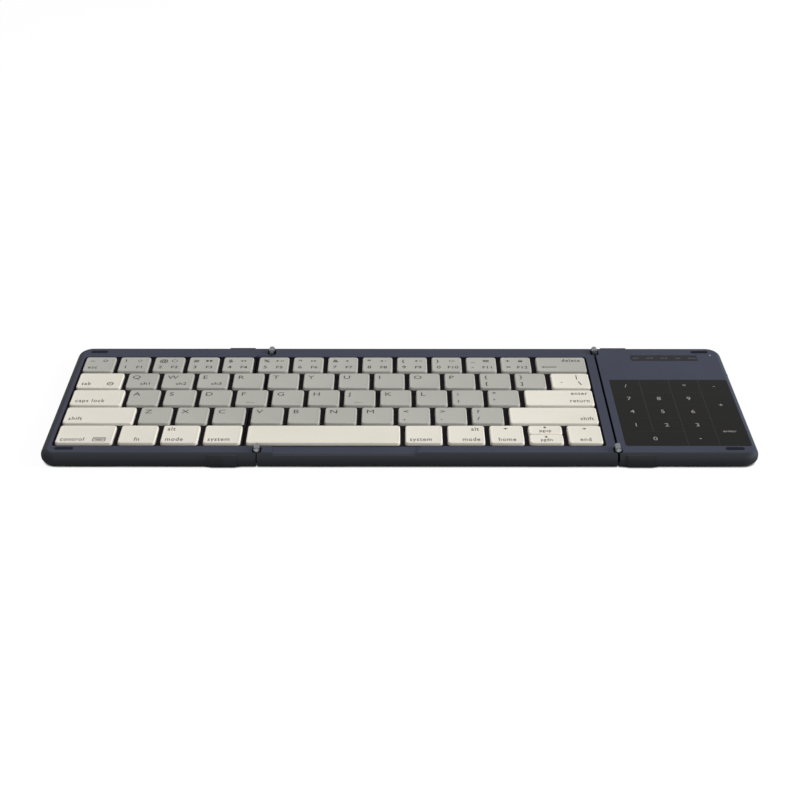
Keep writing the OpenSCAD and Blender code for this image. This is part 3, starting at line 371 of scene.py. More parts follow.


# Slate ABS with three zones of painted shade: the walls, the web between the keys and the hinge's shut line
slate_upper = moulded_abs(
    "spark_textured_slate_abs_painted_shade", "#353947", "#393d4b",
    [("#2a2d31", painted_wall_shade_mask, 0.1), ("#242125", painted_web_shade_mask, 0.0), ("#101114", painted_shut_line_shade_mask, 0.0)])
slate_lower = moulded_abs("spark_textured_dark_slate_abs", "#26292d", "#292c30")
black_switch = moulded_abs("moulded_black_abs", "#17181b", "#1b1c1f")
print("deck", [round(c / MM, 1) for c in deck_high - deck_low], "mm")

# %% [markdown]
# Keycaps of this kind are moulded in PBT, a plastic that stays matt and a little chalky under the fingers.
# A fine noise roughens the surface, and a broad one shifts its colour a little from key to key, as batches
# of plastic do. The acetal of the scissor links is as matt. The letters are dyed into the caps, and dye
# spreads a little unevenly. The print on the panel and in the status window is made the same way.

# %% Keycap plastic
PBT_GRIT_MM = 0.3
DYE_CLOUD_MM = 0.6
THIN_DYE = 1.25


def matt_plastic(name, hex_code, light_hex):
    material, tree = new_material(name)
    place, _, bump = grit_bump(tree, PBT_GRIT_MM, height_mm=0.012, strength=0.3)
    colour = clouded(tree, place, CLOUD_MM, linear(hex_code), linear(light_hex))
    finish_with(tree, Base_Color=colour, Normal=bump.outputs[0], Roughness=0.55, Specular_IOR_Level=0.3)
    return material


grey_pbt = matt_plastic("satin_grey_pbt", "#abaaa3", "#b0afa8")
cream_pbt = matt_plastic("satin_cream_pbt", "#e2ddd0", "#e6e1d5")
link_acetal = matt_plastic("white_moulded_acetal", "#dcdad2", "#e2e0d9")


def dye(name, hex_code, roughness):
    material, tree = new_material(name)
    place = add_node(tree, "ShaderNodeTexCoord")
    ink = linear(hex_code)
    thin = tuple(min(1.0, THIN_DYE * c) for c in ink)
    colour = clouded(tree, place, DYE_CLOUD_MM, ink, thin)
    finish_with(tree, Base_Color=colour, Roughness=roughness, Specular_IOR_Level=0.2)
    return material


dark_dye = dye("dark_grey_dye", "#2b2927", 0.6)
pale_print = dye("pale_grey_screen_print", "#8d8b87", 0.5)
strip_print = dye("brown_grey_screen_print", "#524f4a", 0.5)
faint_print = dye("faint_grey_screen_print", "#262423", 0.5)
print("keycap grit", PBT_GRIT_MM, "mm")

# %% [markdown]
# The hinge knuckles are zinc castings, plated bright. A metal has no diffuse colour of its own, so the
# metallic value is 1 and the hex value tints what it mirrors. The pins and screws are turned steel, and
# the fine rings that the tool left show as noise that is stretched along one axis.

# %% Metals
METAL_GLOSS_SPREAD = 0.08


def plated_metal(name, hex_code, roughness, grain_mm, stretch):
    material, tree = new_material(name)
    place = add_node(tree, "ShaderNodeTexCoord")
    laid = add_node(tree, "ShaderNodeMapping", {"Vector": place.outputs["Object"], "Scale": stretch})
    grain = add_node(
        tree, "ShaderNodeTexNoise",
        {"Vector": laid.outputs[0], "Scale": grains_per_metre(grain_mm), "Detail": 2.0})
    gloss = add_node(
        tree, "ShaderNodeMapRange",
        {"Value": grain.outputs["Fac"], "To Min": roughness - METAL_GLOSS_SPREAD,
         "To Max": roughness + METAL_GLOSS_SPREAD})
    bump = add_node(
        tree, "ShaderNodeBump", {"Height": grain.outputs["Fac"], "Distance": 0.01 * MM, "Strength": 0.25})
    finish_with(
        tree, Base_Color=linear(hex_code), Metallic=1.0, Roughness=gloss.outputs[0], Normal=bump.outputs[0])
    return material


bright_zinc = plated_metal("bright_plated_zinc", "#7a7d81", 0.16, 0.5, (1, 1, 1))
turned_steel = plated_metal("turned_steel", "#b9bbbe", 0.3, 0.25, (1, 0.15, 1))
plate_steel = plated_metal("rolled_steel_sheet", "#9c9ea1", 0.4, 0.4, (0.08, 1, 1))
socket_steel = plated_metal("stamped_steel_shell", "#aeb0b4", 0.32, 0.3, (1, 0.2, 1))
battery_foil = plated_metal("laminated_pouch_foil", "#8f949a", 0.42, 3.0, (1, 1, 1))
print("metals ready")

# %% [markdown]
# The touch panel is glass, printed black from behind, so the eye sees a dark colour under a clear gloss.
# Its face has an etched coat against glare, which keeps reflections weak even at this low angle: the
# specular level is set low to match. The status window is a strip of black acrylic, nearly as dark but
# glossier. Rubber and silicone catch dust, which shows as paler patches on their matt skin.

# %% Glass, acrylic, rubber and the inner parts
SMEAR_MM = 22
DUST_MM = 9
DUST_LIGHTENS = 1.5


def printed_glass(name, hex_code, roughness, specular):
    material, tree = new_material(name)
    place = add_node(tree, "ShaderNodeTexCoord")
    smear = uneven(tree, place, SMEAR_MM, low=roughness - 0.04, high=roughness + 0.05)
    finish_with(tree, Base_Color=linear(hex_code), Roughness=smear, Specular_IOR_Level=specular)
    return material


panel_glass = printed_glass("etched_back_printed_glass", "#171615", 0.32, 0.04)
window_acrylic = printed_glass("gloss_black_acrylic", "#212126", 0.25, 0.05)
light_pipe = printed_glass("clear_polycarbonate_lens", "#8e9296", 0.2, 0.3)


def rubber(name, hex_code, grain_mm, specular=0.2):
    material, tree = new_material(name)
    place, _, bump = grit_bump(tree, grain_mm, height_mm=0.02, strength=0.4)
    clean = linear(hex_code)
    dusty = tuple(c * DUST_LIGHTENS for c in clean[:3]) + (1.0,)
    colour = clouded(tree, place, DUST_MM, clean, dusty)
    finish_with(tree, Base_Color=colour, Normal=bump.outputs[0], Roughness=0.7, Specular_IOR_Level=specular)
    return material


foot_rubber = rubber("moulded_black_rubber", "#1a1c1f", 0.4)
bumper_rubber = rubber("moulded_blue_black_rubber", "#181a22", 0.4, 0.04)
dome_silicone = rubber("milky_silicone", "#c9c9c4", 0.8)
film_polyester = rubber("printed_polyester_film", "#a8a48e", 1.5)
board_laminate = rubber("green_solder_resist", "#164a2b", 1.0)
print("soft and inner finishes ready")

# %% [markdown]
# A CAD node keeps its shape and only changes its finish, so its object's material slots are refilled. One
# table pairs each finish with its nodes and with the slot in the part's record that names the same finish.

# %% Finishes of the CAD nodes
FINISHES = [
    (slate_upper, "upper_shell", ["left_top_frame", "centre_top_frame", "right_top_deck"]),
    (slate_lower, "lower_shell", ["left_bottom_case", "centre_bottom_case", "right_bottom_case"]),
    (plate_steel, "plate_steel", ["left_key_plate", "centre_key_plate"]),
    (film_polyester, "membrane", ["left_membrane", "centre_membrane"]),
    (dome_silicone, "silicone", ["left_domes", "centre_domes"]),
    (link_acetal, "key_cream", ["left_scissors", "centre_scissors"]),
    (foot_rubber, "foot_rubber", ["left_feet", "centre_feet", "right_feet"]),
    (bumper_rubber, "foot_rubber", ["left_bumpers", "right_bumpers"]),
    (turned_steel, "screw_steel", ["left_screws", "centre_screws", "right_screws"]),
    (bright_zinc, "hinge_zinc",
     ["left_hinge_brackets", "centre_hinge_brackets", "right_hinge_brackets"]),
    (turned_steel, "pin_steel", ["hinge_pins"]),
    (panel_glass, "panel_glass", ["touch_panel"]),
    (window_acrylic, "window_gloss", ["status_window"]),
    (light_pipe, "lens_clear", ["status_lens"]),
    (board_laminate, "board_green", ["main_board"]),
    (battery_foil, "battery_foil", ["battery"]),
    (black_switch, "switch_black", ["power_switch"]),
    (socket_steel, "socket_steel", ["charging_port"]),
]

for material, slot_name, node_names in FINISHES:
    for node_name in node_names:
        shell = frame["nodes"][node_name]
        shell.data.materials.clear()
        shell.data.materials.append(material)
print("finished", sum(len(names) for _, _, names in FINISHES), "CAD nodes")

# %% [markdown]
# Modelling by operator needs three small habits. Everything is deselected before a new primitive, because
# operators act on all that is selected. In edit mode, faces and edges are chosen in code by where they lie
# or which way they face. And each piece ends as an object at the origin, with its place in its mesh. Most
# pieces start as a block: a cube of side 1, scaled to its size.

# %% Modelling helpers
NEAR = 0.0005 * MM
FACING = 0.99


def select_only(piece):
    bpy.ops.object.select_all(action="DESELECT")
    piece.select_set(True)
    bpy.context.view_layer.objects.active = piece


def start_edit(piece):
    select_only(piece)
    bpy.ops.object.mode_set(mode="EDIT")


def end_edit():
    bpy.ops.object.mode_set(mode="OBJECT")


def pick(piece, kind, test):
    bpy.ops.mesh.select_mode(type=kind)
    bpy.ops.mesh.select_all(action="DESELECT")
    cage = bmesh.from_edit_mesh(piece.data)
    cage.normal_update()
    elements = {"FACE": cage.faces, "EDGE": cage.edges}[kind]
    for element in [e for e in elements if test(e)]:
        element.select_set(True)
    bmesh.update_edit_mesh(piece.data)


def settle(piece):
    select_only(piece)
    bpy.ops.object.transform_apply(location=True, rotation=True, scale=True)


def block(middle, size):
    bpy.ops.object.select_all(action="DESELECT")
    bpy.ops.mesh.primitive_cube_add(size=1, location=middle, scale=size)
    piece = bpy.context.object
    settle(piece)
    return piece


def joined(pieces, name):
    bpy.ops.object.select_all(action="DESELECT")
    for piece in pieces:
        piece.select_set(True)
    bpy.context.view_layer.objects.active = pieces[0]
    if len(pieces) > 1:
        bpy.ops.object.join()
    whole = bpy.context.object
    whole.name = name
    whole.data.name = name
    return whole


print("helpers ready")

# %% [markdown]
# A keycap starts as a block of the size that its CAD node has. Its upright edges are bevelled round, its top
# is scaled in a little so that the sides lean, and the rim of the top gets a small radius. Three shallow
# insets then sink the crown, so that it is dished as a finger expects, with a flat middle for the letters.
# Last, the underside is inset and extruded up, which leaves the hollow of a real moulding.

# %% Keycap
CAP_DRAFT = 0.15 * MM
CAP_CORNER_R = 1.4 * MM
CAP_RIM_R = 0.45 * MM
CAP_WALL = 0.9 * MM
CAP_CROWN = 0.9 * MM
DISH_STEPS = [(0.25 * MM, 0.015 * MM), (0.3 * MM, 0.045 * MM), (0.3 * MM, 0.02 * MM)]
DISH_DEPTH = sum(depth for _, depth in DISH_STEPS)
SMOOTH_ANGLE = math.radians(40)


def keycap(low, high, material):
    size = high - low
    middle = (low + high) / 2
    cap = block(middle, size)
    start_edit(cap)
    pick(cap, "EDGE", lambda e: abs(e.verts[0].co.z - e.verts[1].co.z) > size.z / 2)
    bpy.ops.mesh.bevel(offset=CAP_CORNER_R, segments=6, affect="EDGES")
    pick(cap, "FACE", lambda f: f.normal.z > FACING)
    bpy.ops.transform.resize(
        value=(1 - 2 * CAP_DRAFT / size.x, 1 - 2 * CAP_DRAFT / size.y, 1),
        center_override=(middle.x, middle.y, high.z))
    pick(cap, "EDGE", lambda e: min(v.co.z for v in e.verts) > high.z - NEAR)
    bpy.ops.mesh.bevel(offset=CAP_RIM_R, segments=4, affect="EDGES")
    pick(cap, "FACE", lambda f: f.normal.z > FACING and f.calc_center_median().z > high.z - NEAR)
    for width, depth in DISH_STEPS:
        bpy.ops.mesh.inset(thickness=width, depth=0)
        bpy.ops.transform.translate(value=(0, 0, -depth))
    pick(cap, "FACE", lambda f: f.normal.z < -FACING)
    bpy.ops.mesh.inset(thickness=CAP_WALL, depth=0)
    bpy.ops.mesh.extrude_region_move(TRANSFORM_OT_translate={"value": (0, 0, size.z - CAP_CROWN)})
    end_edit()
    cap.data.materials.append(material)
    bpy.ops.object.shade_smooth_by_angle(angle=SMOOTH_ANGLE)
    return cap


print("a crown is dished by", round(DISH_DEPTH / MM, 2), "mm")

# %% [markdown]
# The letter keys share one size, so a row of them is one cap, copied along the row at the key pitch and
# joined, because the row is one node in the CAD model. Keys of other sizes are modelled one by one. The
# two home keys carry a low bar near their front edge, which the fingers find without looking.

# %% Keys in the CAD model
KEY_PITCH = 17.5 * MM
HOMING_SIZE = Vector((4.4, 0.65, 0.5)) * MM
HOMING_FROM_FRONT = 2.6 * MM
HOMING_RIM_R = 0.15 * MM
HOMING_KEYS = "FJ"
KEY_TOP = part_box("escape_key")[1].z

LETTER_ROWS = {
    "digit_keys_left": "1234",
    "top_letter_keys_left": "QWER",
    "home_letter_keys_left": "ASDF",
    "low_letter_keys_left": "ZXC",
    "digit_keys_centre": "567890-=",
    "top_letter_keys_centre": "TYUIOP[]",
    "home_letter_keys_centre": "GHJKL;'",
    "low_letter_keys_centre": "VBNM,./",
}
GREY_SINGLES = ["escape_key", "delete_key"]
CREAM_SINGLES = [
    "tab_key", "caps_key", "shift_key_left", "control_key", "fn_key", "alt_key_left", "system_key_left",
    "backslash_key", "enter_key", "shift_key_right", "space_bar", "system_key_right", "alt_key_right",
    "arrow_left_key", "arrow_up_key", "arrow_down_key", "arrow_right_key",
]


def key_boxes(node_name):
    low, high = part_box(node_name)
    count = len(LETTER_ROWS.get(node_name, "x"))
    width = high.x - low.x - (count - 1) * KEY_PITCH
    starts = [low.x + i * KEY_PITCH for i in range(count)]
    return [(Vector((x, low.y, low.z)), Vector((x + width, high.y, KEY_TOP))) for x in starts]


def homing_bar(low, high, material, top):
    y = low.y + CAP_DRAFT + HOMING_FROM_FRONT
    bar = block(((low.x + high.x) / 2, y, top - HOMING_SIZE.z / 2), HOMING_SIZE)
    start_edit(bar)
    bpy.ops.mesh.select_all(action="SELECT")
    bpy.ops.mesh.bevel(offset=HOMING_RIM_R, segments=3, affect="EDGES")
    end_edit()
    bar.data.materials.append(material)
    bpy.ops.object.shade_smooth_by_angle(angle=SMOOTH_ANGLE)
    return bar


def body_of(node_name):
    return frame["nodes"][node_name]["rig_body"]


def key_row(node_name, material):
    boxes = key_boxes(node_name)
    first = keycap(*boxes[0], material)
    caps = [first]
    for i in range(1, len(boxes)):
        copy = first.copy()
        copy.data = first.data.copy()
        scene.collection.objects.link(copy)
        copy.location.x = i * KEY_PITCH
        settle(copy)
        caps.append(copy)
    for letter, key_box in zip(LETTER_ROWS.get(node_name, ""), boxes):
        if letter in HOMING_KEYS:
            caps.append(homing_bar(*key_box, material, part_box(node_name)[1].z))
    piece = joined(caps, node_name + "_caps")
    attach(piece, body_of(node_name))
    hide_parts(node_name)


for name in [*LETTER_ROWS, *GREY_SINGLES]:
    key_row(name, grey_pbt)
for name in CREAM_SINGLES:
    key_row(name, cream_pbt)
KEY_NODES = [*LETTER_ROWS, *GREY_SINGLES, *CREAM_SINGLES]
print("modelled", sum(len(key_boxes(name)) for name in KEY_NODES), "keycaps on", len(KEY_NODES), "nodes")

# %% [markdown]
# Under each cap stands a silicone dome, and under all but the two half keys also a pair of crossed scissor
# links, or two pairs under the space bar. In the CAD model the domes of a leaf are one node and its links
# another, and neither gives way, so a pressed cap would pass through them. Each key's own solids are
# therefore copied out of the two nodes. A CAD mesh is loose triangles, so its points are merged first and
# the solids can be told apart. Those of a key become one piece, which rides on the key's leaf.


def loose_solids(node_name):
    copy = bpy.data.objects.new(node_name + "_copy", frame["nodes"][node_name].data.copy())
    scene.collection.objects.link(copy)
    start_edit(copy)
    bpy.ops.mesh.select_all(action="SELECT")
    bpy.ops.mesh.remove_doubles(threshold=NEAR)
    bpy.ops.mesh.separate(type="LOOSE")
    end_edit()
    return list(bpy.context.selected_objects)


def stands_under(solid, low, high):
    middle = sum((Vector(corner) for corner in solid.bound_box), Vector()) / 8
    return low.x < middle.x < high.x and low.y < middle.y < high.y


presses = {joint["child"]: joint for joint in frame["joints"] if joint["name"].endswith("_press")}
loose = [
    solid for node_name in ("left_domes", "left_scissors", "centre_domes", "centre_scissors")
    for solid in loose_solids(node_name)]
under = {}
for node_name in KEY_NODES:
    boxes = key_boxes(node_name)
    under[node_name] = [s for s in loose if any(stands_under(s, *key_box) for key_box in boxes)]
print("domes and links:", len(loose), "of which under a key:", sum(map(len, under.values())))
for node_name, solids in under.items():
    press = presses[body_of(node_name)]
    leaf = press["parent"].split("_")[0]
    mechanism = joined(solids, node_name + "_mechanism")
    bpy.ops.object.shade_smooth_by_angle(angle=SMOOTH_ANGLE)
    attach(mechanism, press["parent"])
    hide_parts(leaf + "_domes", leaf + "_scissors")
    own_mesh(mechanism)
print("key mechanisms:", len(under))

# %% [markdown]
# The legends are dyed into the caps. A font gives the outlines, which become real, very thin meshes that
# lie on the flat middle of each crown. A small offset of the outline makes thin strokes heavier. Type sizes
# are given by the height of a capital, so the font's own share of capital to type size is measured first.
# The legends are plain ones: letters, numbers, signs and the usual words for a key's work.

# %% Lettering
INK_T = 0.03 * MM
INK_SUNK = 0.012 * MM
FACE_STRETCH = 1.08
WORD_WEIGHT = 0.035 * MM
MARK_WEIGHT = 0.06 * MM
DOT_WEIGHT = 0.12 * MM
DOTTED = ":;'\".,`"
OUTLINE_STEPS = 3


def printed(words, place, capital, side="LEFT", stretch=FACE_STRETCH, weight=0.0, spacing=1.0):
    bpy.ops.object.select_all(action="DESELECT")
    bpy.ops.object.text_add(location=place)
    text = bpy.context.object
    text.data.body = words
    text.data.align_x = side
    text.data.size = capital / capital_share
    text.data.extrude = INK_T / 2
    text.data.offset = weight
    text.data.space_character = spacing
    text.data.resolution_u = OUTLINE_STEPS
    text.scale.x = stretch
    bpy.ops.object.convert(target="MESH")
    mesh_text = bpy.context.object
    settle(mesh_text)
    return mesh_text


def inked(marks, name, ink):
    piece = joined(marks, name)
    piece.data.materials.clear()
    piece.data.materials.append(ink)
    return piece


capital_share = 1.0
trial = printed("H", (0, 0, 0), 1.0, stretch=1)
capital_share = trial.dimensions.y
bpy.data.objects.remove(trial)
print("a capital is", round(capital_share, 3), "of the type size")

# %% [markdown]
# Arrows and the small signs on the number row are built from bars, triangles and rings: blocks, three-sided
# cylinders and flat tori, all as thin as the ink, and each placed by its middle. A table gives the signs of
# the number row in units of 0.78 mm, so one number makes them all larger or smaller.

# %% Small signs
def bar_sign(x, y, z, width, depth):
    return block((x, y, z), (width, depth, INK_T))


def triangle_sign(x, y, z, radius, turn):
    bpy.ops.object.select_all(action="DESELECT")
    bpy.ops.mesh.primitive_cylinder_add(
        vertices=3, radius=radius, depth=INK_T, location=(x, y, z), rotation=(0, 0, turn))
    sign = bpy.context.object
    settle(sign)
    return sign


def ring_sign(x, y, z, radius, width):
    bpy.ops.object.select_all(action="DESELECT")
    bpy.ops.mesh.primitive_torus_add(
        location=(x, y, z), major_radius=radius, minor_radius=width / 2, major_segments=20, minor_segments=4)
    sign = bpy.context.object
    sign.scale.z = INK_T / width
    settle(sign)
    return sign


# A three-sided cylinder points along +Y, and a turn about Z is counted from there
POINTS = {"up": 0.0, "left": math.pi / 2, "down": math.pi, "right": -math.pi / 2}
ARROW_HEAD_R = 0.95 * MM
ARROW_SHAFT = 0.3 * MM


def arrow_sign(x, y, z, way, length, shaft_thin=ARROW_SHAFT):
    along = Vector((0, 1, 0))
    along.rotate(Matrix.Rotation(POINTS[way], 3, "Z"))
    shaft_long = length - ARROW_HEAD_R
    size = [shaft_long if abs(part) > 0.5 else shaft_thin for part in along[:2]]
    shaft = bar_sign(x - along.x * ARROW_HEAD_R / 2, y - along.y * ARROW_HEAD_R / 2, z, *size)
    tip = triangle_sign(
        x + along.x * shaft_long / 2, y + along.y * shaft_long / 2, z, ARROW_HEAD_R, POINTS[way])
    return [shaft, tip]


SIGN_UNIT = 0.78 * MM
# Each shape has a kind, its middle across and up, then width and depth, or a triangle's radius, or a
# ring's radius and line
NUMBER_SIGNS = [
    [("ring", 0, 0, 1.2, 0.4)],
    [("ring", 0, 0, 1.7, 0.4)],
    [("bar", -1.2, 0, 1.6, 2.2), ("bar", 1.2, 0, 1.6, 2.2)],
    [("left", -1, 0, 1.2), ("left", 1, 0, 1.2)],
    [("right", -1, 0, 1.3), ("bar", 1.4, 0, 0.5, 2), ("bar", 2.6, 0, 0.5, 2)],
    [("right", -1, 0, 1.2), ("right", 1, 0, 1.2)],
    [("left", -0.4, 0, 1.3)],
    [("left", -0.4, 0, 1.3), ("bar", 1.9, 0, 0.35, 1.8)],
    [("left", -0.4, 0, 1.3), ("bar", 1.9, 0, 0.35, 1.8), ("bar", 2.8, 0, 0.35, 2.6)],
    [("ring", 0, 0, 1.3, 0.4), ("bar", 2.2, 0, 1.2, 0.4)],
    [("bar", 0, -0.9, 4, 1), ("bar", 0, 0.9, 4, 1)],
    [("bar", 0, -0.4, 2.8, 1.6), ("ring", 0, 0.6, 0.9, 0.35)],
]


def number_row_sign(index, x, y, z):
    made = []
    for kind, across, up, *sizes in NUMBER_SIGNS[index]:
        place = (x + across * SIGN_UNIT, y + up * SIGN_UNIT, z)
        sizes = [size * SIGN_UNIT for size in sizes]
        if kind == "bar":
            made.append(bar_sign(*place, *sizes))
        elif kind == "ring":
            made.append(ring_sign(*place, *sizes))
        else:
            made.append(triangle_sign(*place, *sizes, POINTS[kind]))
    return made


def keyboard_sign(x, y, z):
    width, depth, line = 5.6 * MM, 3.0 * MM, 0.4 * MM
    rails = [bar_sign(x, y + s * depth / 2, z, width, line) for s in (-1, 1)]
    ends = [bar_sign(x + s * width / 2, y, z, line, depth) for s in (-1, 1)]
    keys = [
        bar_sign(x + i * width / 6, y + j * depth / 5, z, 0.6 * MM, 0.45 * MM)
        for i in (-2, -1, 0, 1, 2) for j in (0, 1)]
    return [*rails, *ends, *keys, bar_sign(x, y - depth / 5, z, width / 2, 0.4 * MM)]


print("signs ready")

# %% [markdown]
# Where a legend stands on its key is a rule, not a list. A spot names the side from which it is measured,
# the distance from that side, how far its baseline lies in front of the rear edge, and the capital height.

# %% Legend spots
WORD = 3.0
WORD_STRETCH = 0.76
WORD_SPACING = 1.13
SPOTS = {
    "letter": ("LEFT", 2.0, 5.7, 3.3),
    "upper_sign": ("LEFT", 2.3, 5.3, 2.8),
    "lower_sign": ("LEFT", 2.4, 11.8, 2.7),
    "function": ("CENTER", 3.1, 11.8, 2.4),
    "channel": ("CENTER", 2.0, 11.8, 2.4),
    "word_left": ("LEFT", 2.2, 12.1, WORD),
    "word_right": ("RIGHT", 1.9, 12.0, WORD),
    "word_right_up": ("RIGHT", 2.4, 4.7, WORD),
    "low_word_left": ("LEFT", 1.9, 14.0, WORD),
    "low_word_mid": ("CENTER", 0, 14.0, WORD),
    "low_word_right": ("RIGHT", 2.1, 14.0, WORD),
    "word_left_up": ("LEFT", 2.0, 4.7, WORD),
    "half_word": ("CENTER", 0, 5.8, 2.4),
}
SHIFTED = dict(zip("1234567890-=[];',./", "!@#$%^&*()_+{}:\"<>?"))
CHANNELS = {"Q": "ch1", "W": "ch2", "E": "ch3"}
WORD_LEGENDS = {
    "escape_key": [("~", "upper_sign"), ("esc", "word_left")],
    "tab_key": [("tab", "word_left")],
    "caps_key": [("caps lock", "word_left")],
    "shift_key_left": [("shift", "word_left")],
    "control_key": [("control", "low_word_left")],
    "fn_key": [("fn", "low_word_mid")],
    "alt_key_left": [("alt", "word_left_up"), ("mode", "low_word_left")],
    "system_key_left": [("system", "low_word_left")],
    "delete_key": [("delete", "word_right_up")],
    "enter_key": [("enter", "word_right_up"), ("return", "word_right")],
    "shift_key_right": [("shift", "word_right")],
    "system_key_right": [("system", "low_word_left")],
    "alt_key_right": [("alt", "word_right_up"), ("mode", "low_word_right")],
    "arrow_left_key": [("home", "low_word_mid")],
    "arrow_right_key": [("end", "low_word_mid")],
    "arrow_up_key": [("pgup", "half_word")],
    "arrow_down_key": [("pgdn", "half_word")],
}
ARROWS = {
    "arrow_left_key": ("left", 2.9), "arrow_right_key": ("right", 2.9),
    "arrow_up_key": ("up", 1.9), "arrow_down_key": ("down", 1.9),
}


def crown_edges(key_box):
    low, high = key_box
    ink_z = high.z - DISH_DEPTH + INK_T / 2 - INK_SUNK
    return low.x + CAP_DRAFT, high.x - CAP_DRAFT, high.y - CAP_DRAFT, ink_z


def spot(key_box, name):
    left, right, rear, z = crown_edges(key_box)
    side, inwards, down, capital = SPOTS[name]
    x = {"LEFT": left, "RIGHT": right, "CENTER": (left + right) / 2}[side]
    x += (-inwards if side == "RIGHT" else inwards) * MM
    return (x, rear - down * MM, z), capital * MM, side


def legend(words, key_box, name):
    place, capital, side = spot(key_box, name)
    if "word" in name:
        return printed(words, place, capital, side, WORD_STRETCH, WORD_WEIGHT, WORD_SPACING)
    if words in DOTTED:
        return printed(words, place, capital, side, weight=DOT_WEIGHT)
    if name == "letter":
        return printed(words, place, capital, side)
    return printed(words, place, capital, side, weight=WORD_WEIGHT if words.isalnum() else MARK_WEIGHT)


print(len(SPOTS), "spots")

# %% [markdown]
# With the rules in place, each node's legends are printed and joined to one thin mesh, which rides on the
# node's body, so it goes down with its keys. A few keys carry a sign of their own beside or instead of a
# word. Those signs are measured from the left edge and the rear edge of the crown.

# %% Print the legends
NUMBER_SIGN_PLACE = (10.0, 3.9)
SIGN_PLACES = {
    "escape_key": NUMBER_SIGN_PLACE, "delete_key": (6.4, 10.3), "control_key": (20, 12.7),
    "tab_key": (16.3, 10.8),
}
# Sign, distance from the right edge and from the rear edge, stretch
BACKSLASH_SIGNS = [("\\", 5.8, 11.6, 1.3), ("|", 6.7, 5.1, 1), ("`", 14.8, 12.0, 1.3)]
BACKSLASH_CAPITAL = 3.2 * MM
SHORT_ARROW = 1.8 * MM
digit_order = LETTER_ROWS["digit_keys_left"] + LETTER_ROWS["digit_keys_centre"]


def place_from(key_box, inwards, down):
    left, _, rear, z = crown_edges(key_box)
    return left + inwards * MM, rear - down * MM, z


def row_legends(node_name):
    marks = []
    for letter, key_box in zip(LETTER_ROWS[node_name], key_boxes(node_name)):
        if letter in SHIFTED:
            marks.append(legend(letter, key_box, "lower_sign"))
            marks.append(legend(SHIFTED[letter], key_box, "upper_sign"))
        else:
            marks.append(legend(letter, key_box, "letter"))
        if letter in CHANNELS:
            marks.append(legend(CHANNELS[letter], key_box, "channel"))
        if letter in digit_order:
            index = digit_order.index(letter)
            marks.append(legend("F" + str(index + 1), key_box, "function"))
            marks += number_row_sign(index, *place_from(key_box, *NUMBER_SIGN_PLACE))
    return marks


def own_sign(node_name, x, y, z):
    if node_name == "escape_key":
        return [ring_sign(x, y, z, 1.0 * MM, 0.4 * MM)]
    if node_name == "delete_key":
        return arrow_sign(x, y, z, "left", 7.2 * MM, 0.7 * MM)
    if node_name == "control_key":
        return keyboard_sign(x, y, z)
    return [ring_sign(x, y, z, 1.4 * MM, 0.55 * MM), bar_sign(x, y, z, 1.2 * MM, 0.5 * MM)]


def single_legends(node_name):
    key_box = key_boxes(node_name)[0]
    left, right, rear, z = crown_edges(key_box)
    marks = [legend(words, key_box, name) for words, name in WORD_LEGENDS.get(node_name, [])]
    if node_name in ARROWS:
        way, down = ARROWS[node_name]
        marks += arrow_sign((left + right) / 2, rear - down * MM, z, way, SHORT_ARROW)
    if node_name == "backslash_key":
        for sign, inwards, down, stretch in BACKSLASH_SIGNS:
            place = (right - inwards * MM, rear - down * MM, z)
            marks.append(printed(sign, place, BACKSLASH_CAPITAL, "LEFT", stretch, MARK_WEIGHT))
    if node_name in SIGN_PLACES:
        marks += own_sign(node_name, *place_from(key_box, *SIGN_PLACES[node_name]))
    return marks


printed_nodes = 0
for node_name in KEY_NODES:
    marks = row_legends(node_name) if node_name in LETTER_ROWS else single_legends(node_name)
    if marks:
        piece = inked(marks, node_name + "_legends", dark_dye)
        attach(piece, body_of(node_name))
        printed_nodes += 1
print("printed legends on", printed_nodes, "nodes")

# %% [markdown]
# The touch panel doubles as a number pad. Under its glass a faint grid parts the fields, four across and
# five deep, and two fields are tall and one is wide, as on any number pad. The numbers are a paler print.
# Both lie a hair above the glass here, as thin meshes, because the glass itself is a dark solid.

# %% Number pad print
PAD_COLUMNS = 4
PAD_ROWS = 5
PAD_CAPITAL = 3.0 * MM
PAD_LINE = 0.16 * MM
PAD_INK_T = 0.016 * MM
PAD_INK_RISE = 0.004 * MM
PAD_INSET = 0.5 * MM
PAD_WORD = 2.0 * MM
PAD_WORD_SHIFT = 0.5 * MM
PAD_POINT = 0.8 * MM
PAD_SIGNS = [
    ("/", 0, 0), ("*", 2, 0), ("-", 3, 0), ("7", 0, 1), ("8", 1, 1), ("9", 2, 1), ("+", 3, 1.5),
    ("4", 0, 2), ("5", 1, 2), ("6", 2, 2), ("1", 0, 3), ("2", 1, 3), ("3", 2, 3),
    ("0", 0.5, 4),
]
pad_low, pad_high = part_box("touch_panel")
field_w = (pad_high.x - pad_low.x) / PAD_COLUMNS
field_d = (pad_high.y - pad_low.y) / PAD_ROWS
pad_z = pad_high.z + PAD_INK_RISE


def field_middle(column, row):
    return pad_low.x + (column + 0.5) * field_w, pad_high.y - (row + 0.5) * field_d


pad_marks = []
for sign, column, row in PAD_SIGNS:
    x, y = field_middle(column, row)
    pad_marks.append(printed(sign, (x, y - PAD_CAPITAL / 2, pad_z), PAD_CAPITAL, "CENTER", 1.0))
x, y = field_middle(3, 3.5)
place = (x - PAD_WORD_SHIFT, y - PAD_WORD_SHIFT, pad_z)
pad_marks.append(printed("enter", place, PAD_WORD, "CENTER", 1.0))
x, y = field_middle(2, 4)
pad_marks.append(bar_sign(x - PAD_POINT, y, pad_z, PAD_POINT, PAD_POINT))
pad_print = inked(pad_marks, "touch_panel_numbers", pale_print)
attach(pad_print, "right_leaf")
print("pad fields are", round(field_w / MM, 1), "by", round(field_d / MM, 1), "mm")

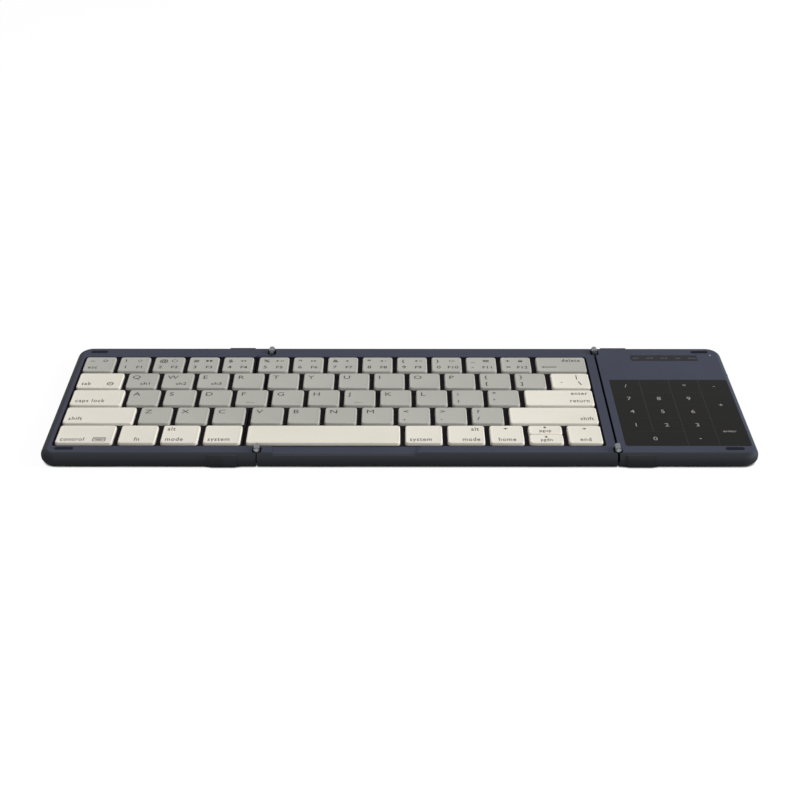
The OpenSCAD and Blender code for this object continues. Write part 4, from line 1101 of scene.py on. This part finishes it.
# %% [markdown]
# The grid is a set of very thin blocks. In the picture the lines that run away from the eye look stronger
# than those across, so the lines across are half as wide. The fields follow the number pad: the 0 is two
# columns wide, and the last column holds two fields that are two rows deep.

# %% Number pad grid
def pad_line(x0, y0, x1, y1):
    size = (max(abs(x1 - x0), PAD_LINE), max(abs(y1 - y0), PAD_LINE / 2), PAD_INK_T)
    return block(((x0 + x1) / 2, (y0 + y1) / 2, pad_z), size)


left_edge, right_edge = pad_low.x + PAD_INSET, pad_high.x - PAD_INSET
front_edge, rear_edge = pad_low.y + PAD_INSET, pad_high.y - PAD_INSET
column_x = [pad_low.x + i * field_w for i in range(PAD_COLUMNS + 1)]
row_y = [pad_high.y - i * field_d for i in range(PAD_ROWS + 1)]
grid = [
    pad_line(column_x[1], row_y[4], column_x[1], rear_edge),
    pad_line(column_x[2], front_edge, column_x[2], rear_edge),
    pad_line(column_x[3], front_edge, column_x[3], rear_edge),
    pad_line(left_edge, row_y[1], right_edge, row_y[1]),
    pad_line(left_edge, row_y[2], column_x[3], row_y[2]),
    pad_line(left_edge, row_y[3], right_edge, row_y[3]),
    pad_line(left_edge, row_y[4], column_x[3], row_y[4]),
]
pad_grid = inked(grid, "touch_panel_grid", faint_print)
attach(pad_grid, "right_leaf")
print("grid of", len(grid), "lines")

# %% [markdown]
# The status window shows five short labels, evenly spaced about its middle. On such a keyboard they light
# up from behind. Here they are print, somewhat paler than the acrylic, because none of them is lit.

# %% Status strip print
STRIP_WORDS = ["ch1", "ch2", "ch3", "on", "num"]
STRIP_STEP = 7.2 * MM
STRIP_CAPITAL = 1.6 * MM
strip_low, strip_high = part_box("status_window")
strip_middle = (strip_low + strip_high) / 2
strip_marks = []
for i, word in enumerate(STRIP_WORDS):
    x = strip_middle.x + (i - (len(STRIP_WORDS) - 1) / 2) * STRIP_STEP
    place = (x, strip_middle.y - STRIP_CAPITAL / 2, strip_high.z)
    strip_marks.append(printed(word, place, STRIP_CAPITAL, "CENTER"))
strip_labels = inked(strip_marks, "status_strip_labels", strip_print)
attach(strip_labels, "right_leaf")
print("status strip has", len(STRIP_WORDS), "labels")
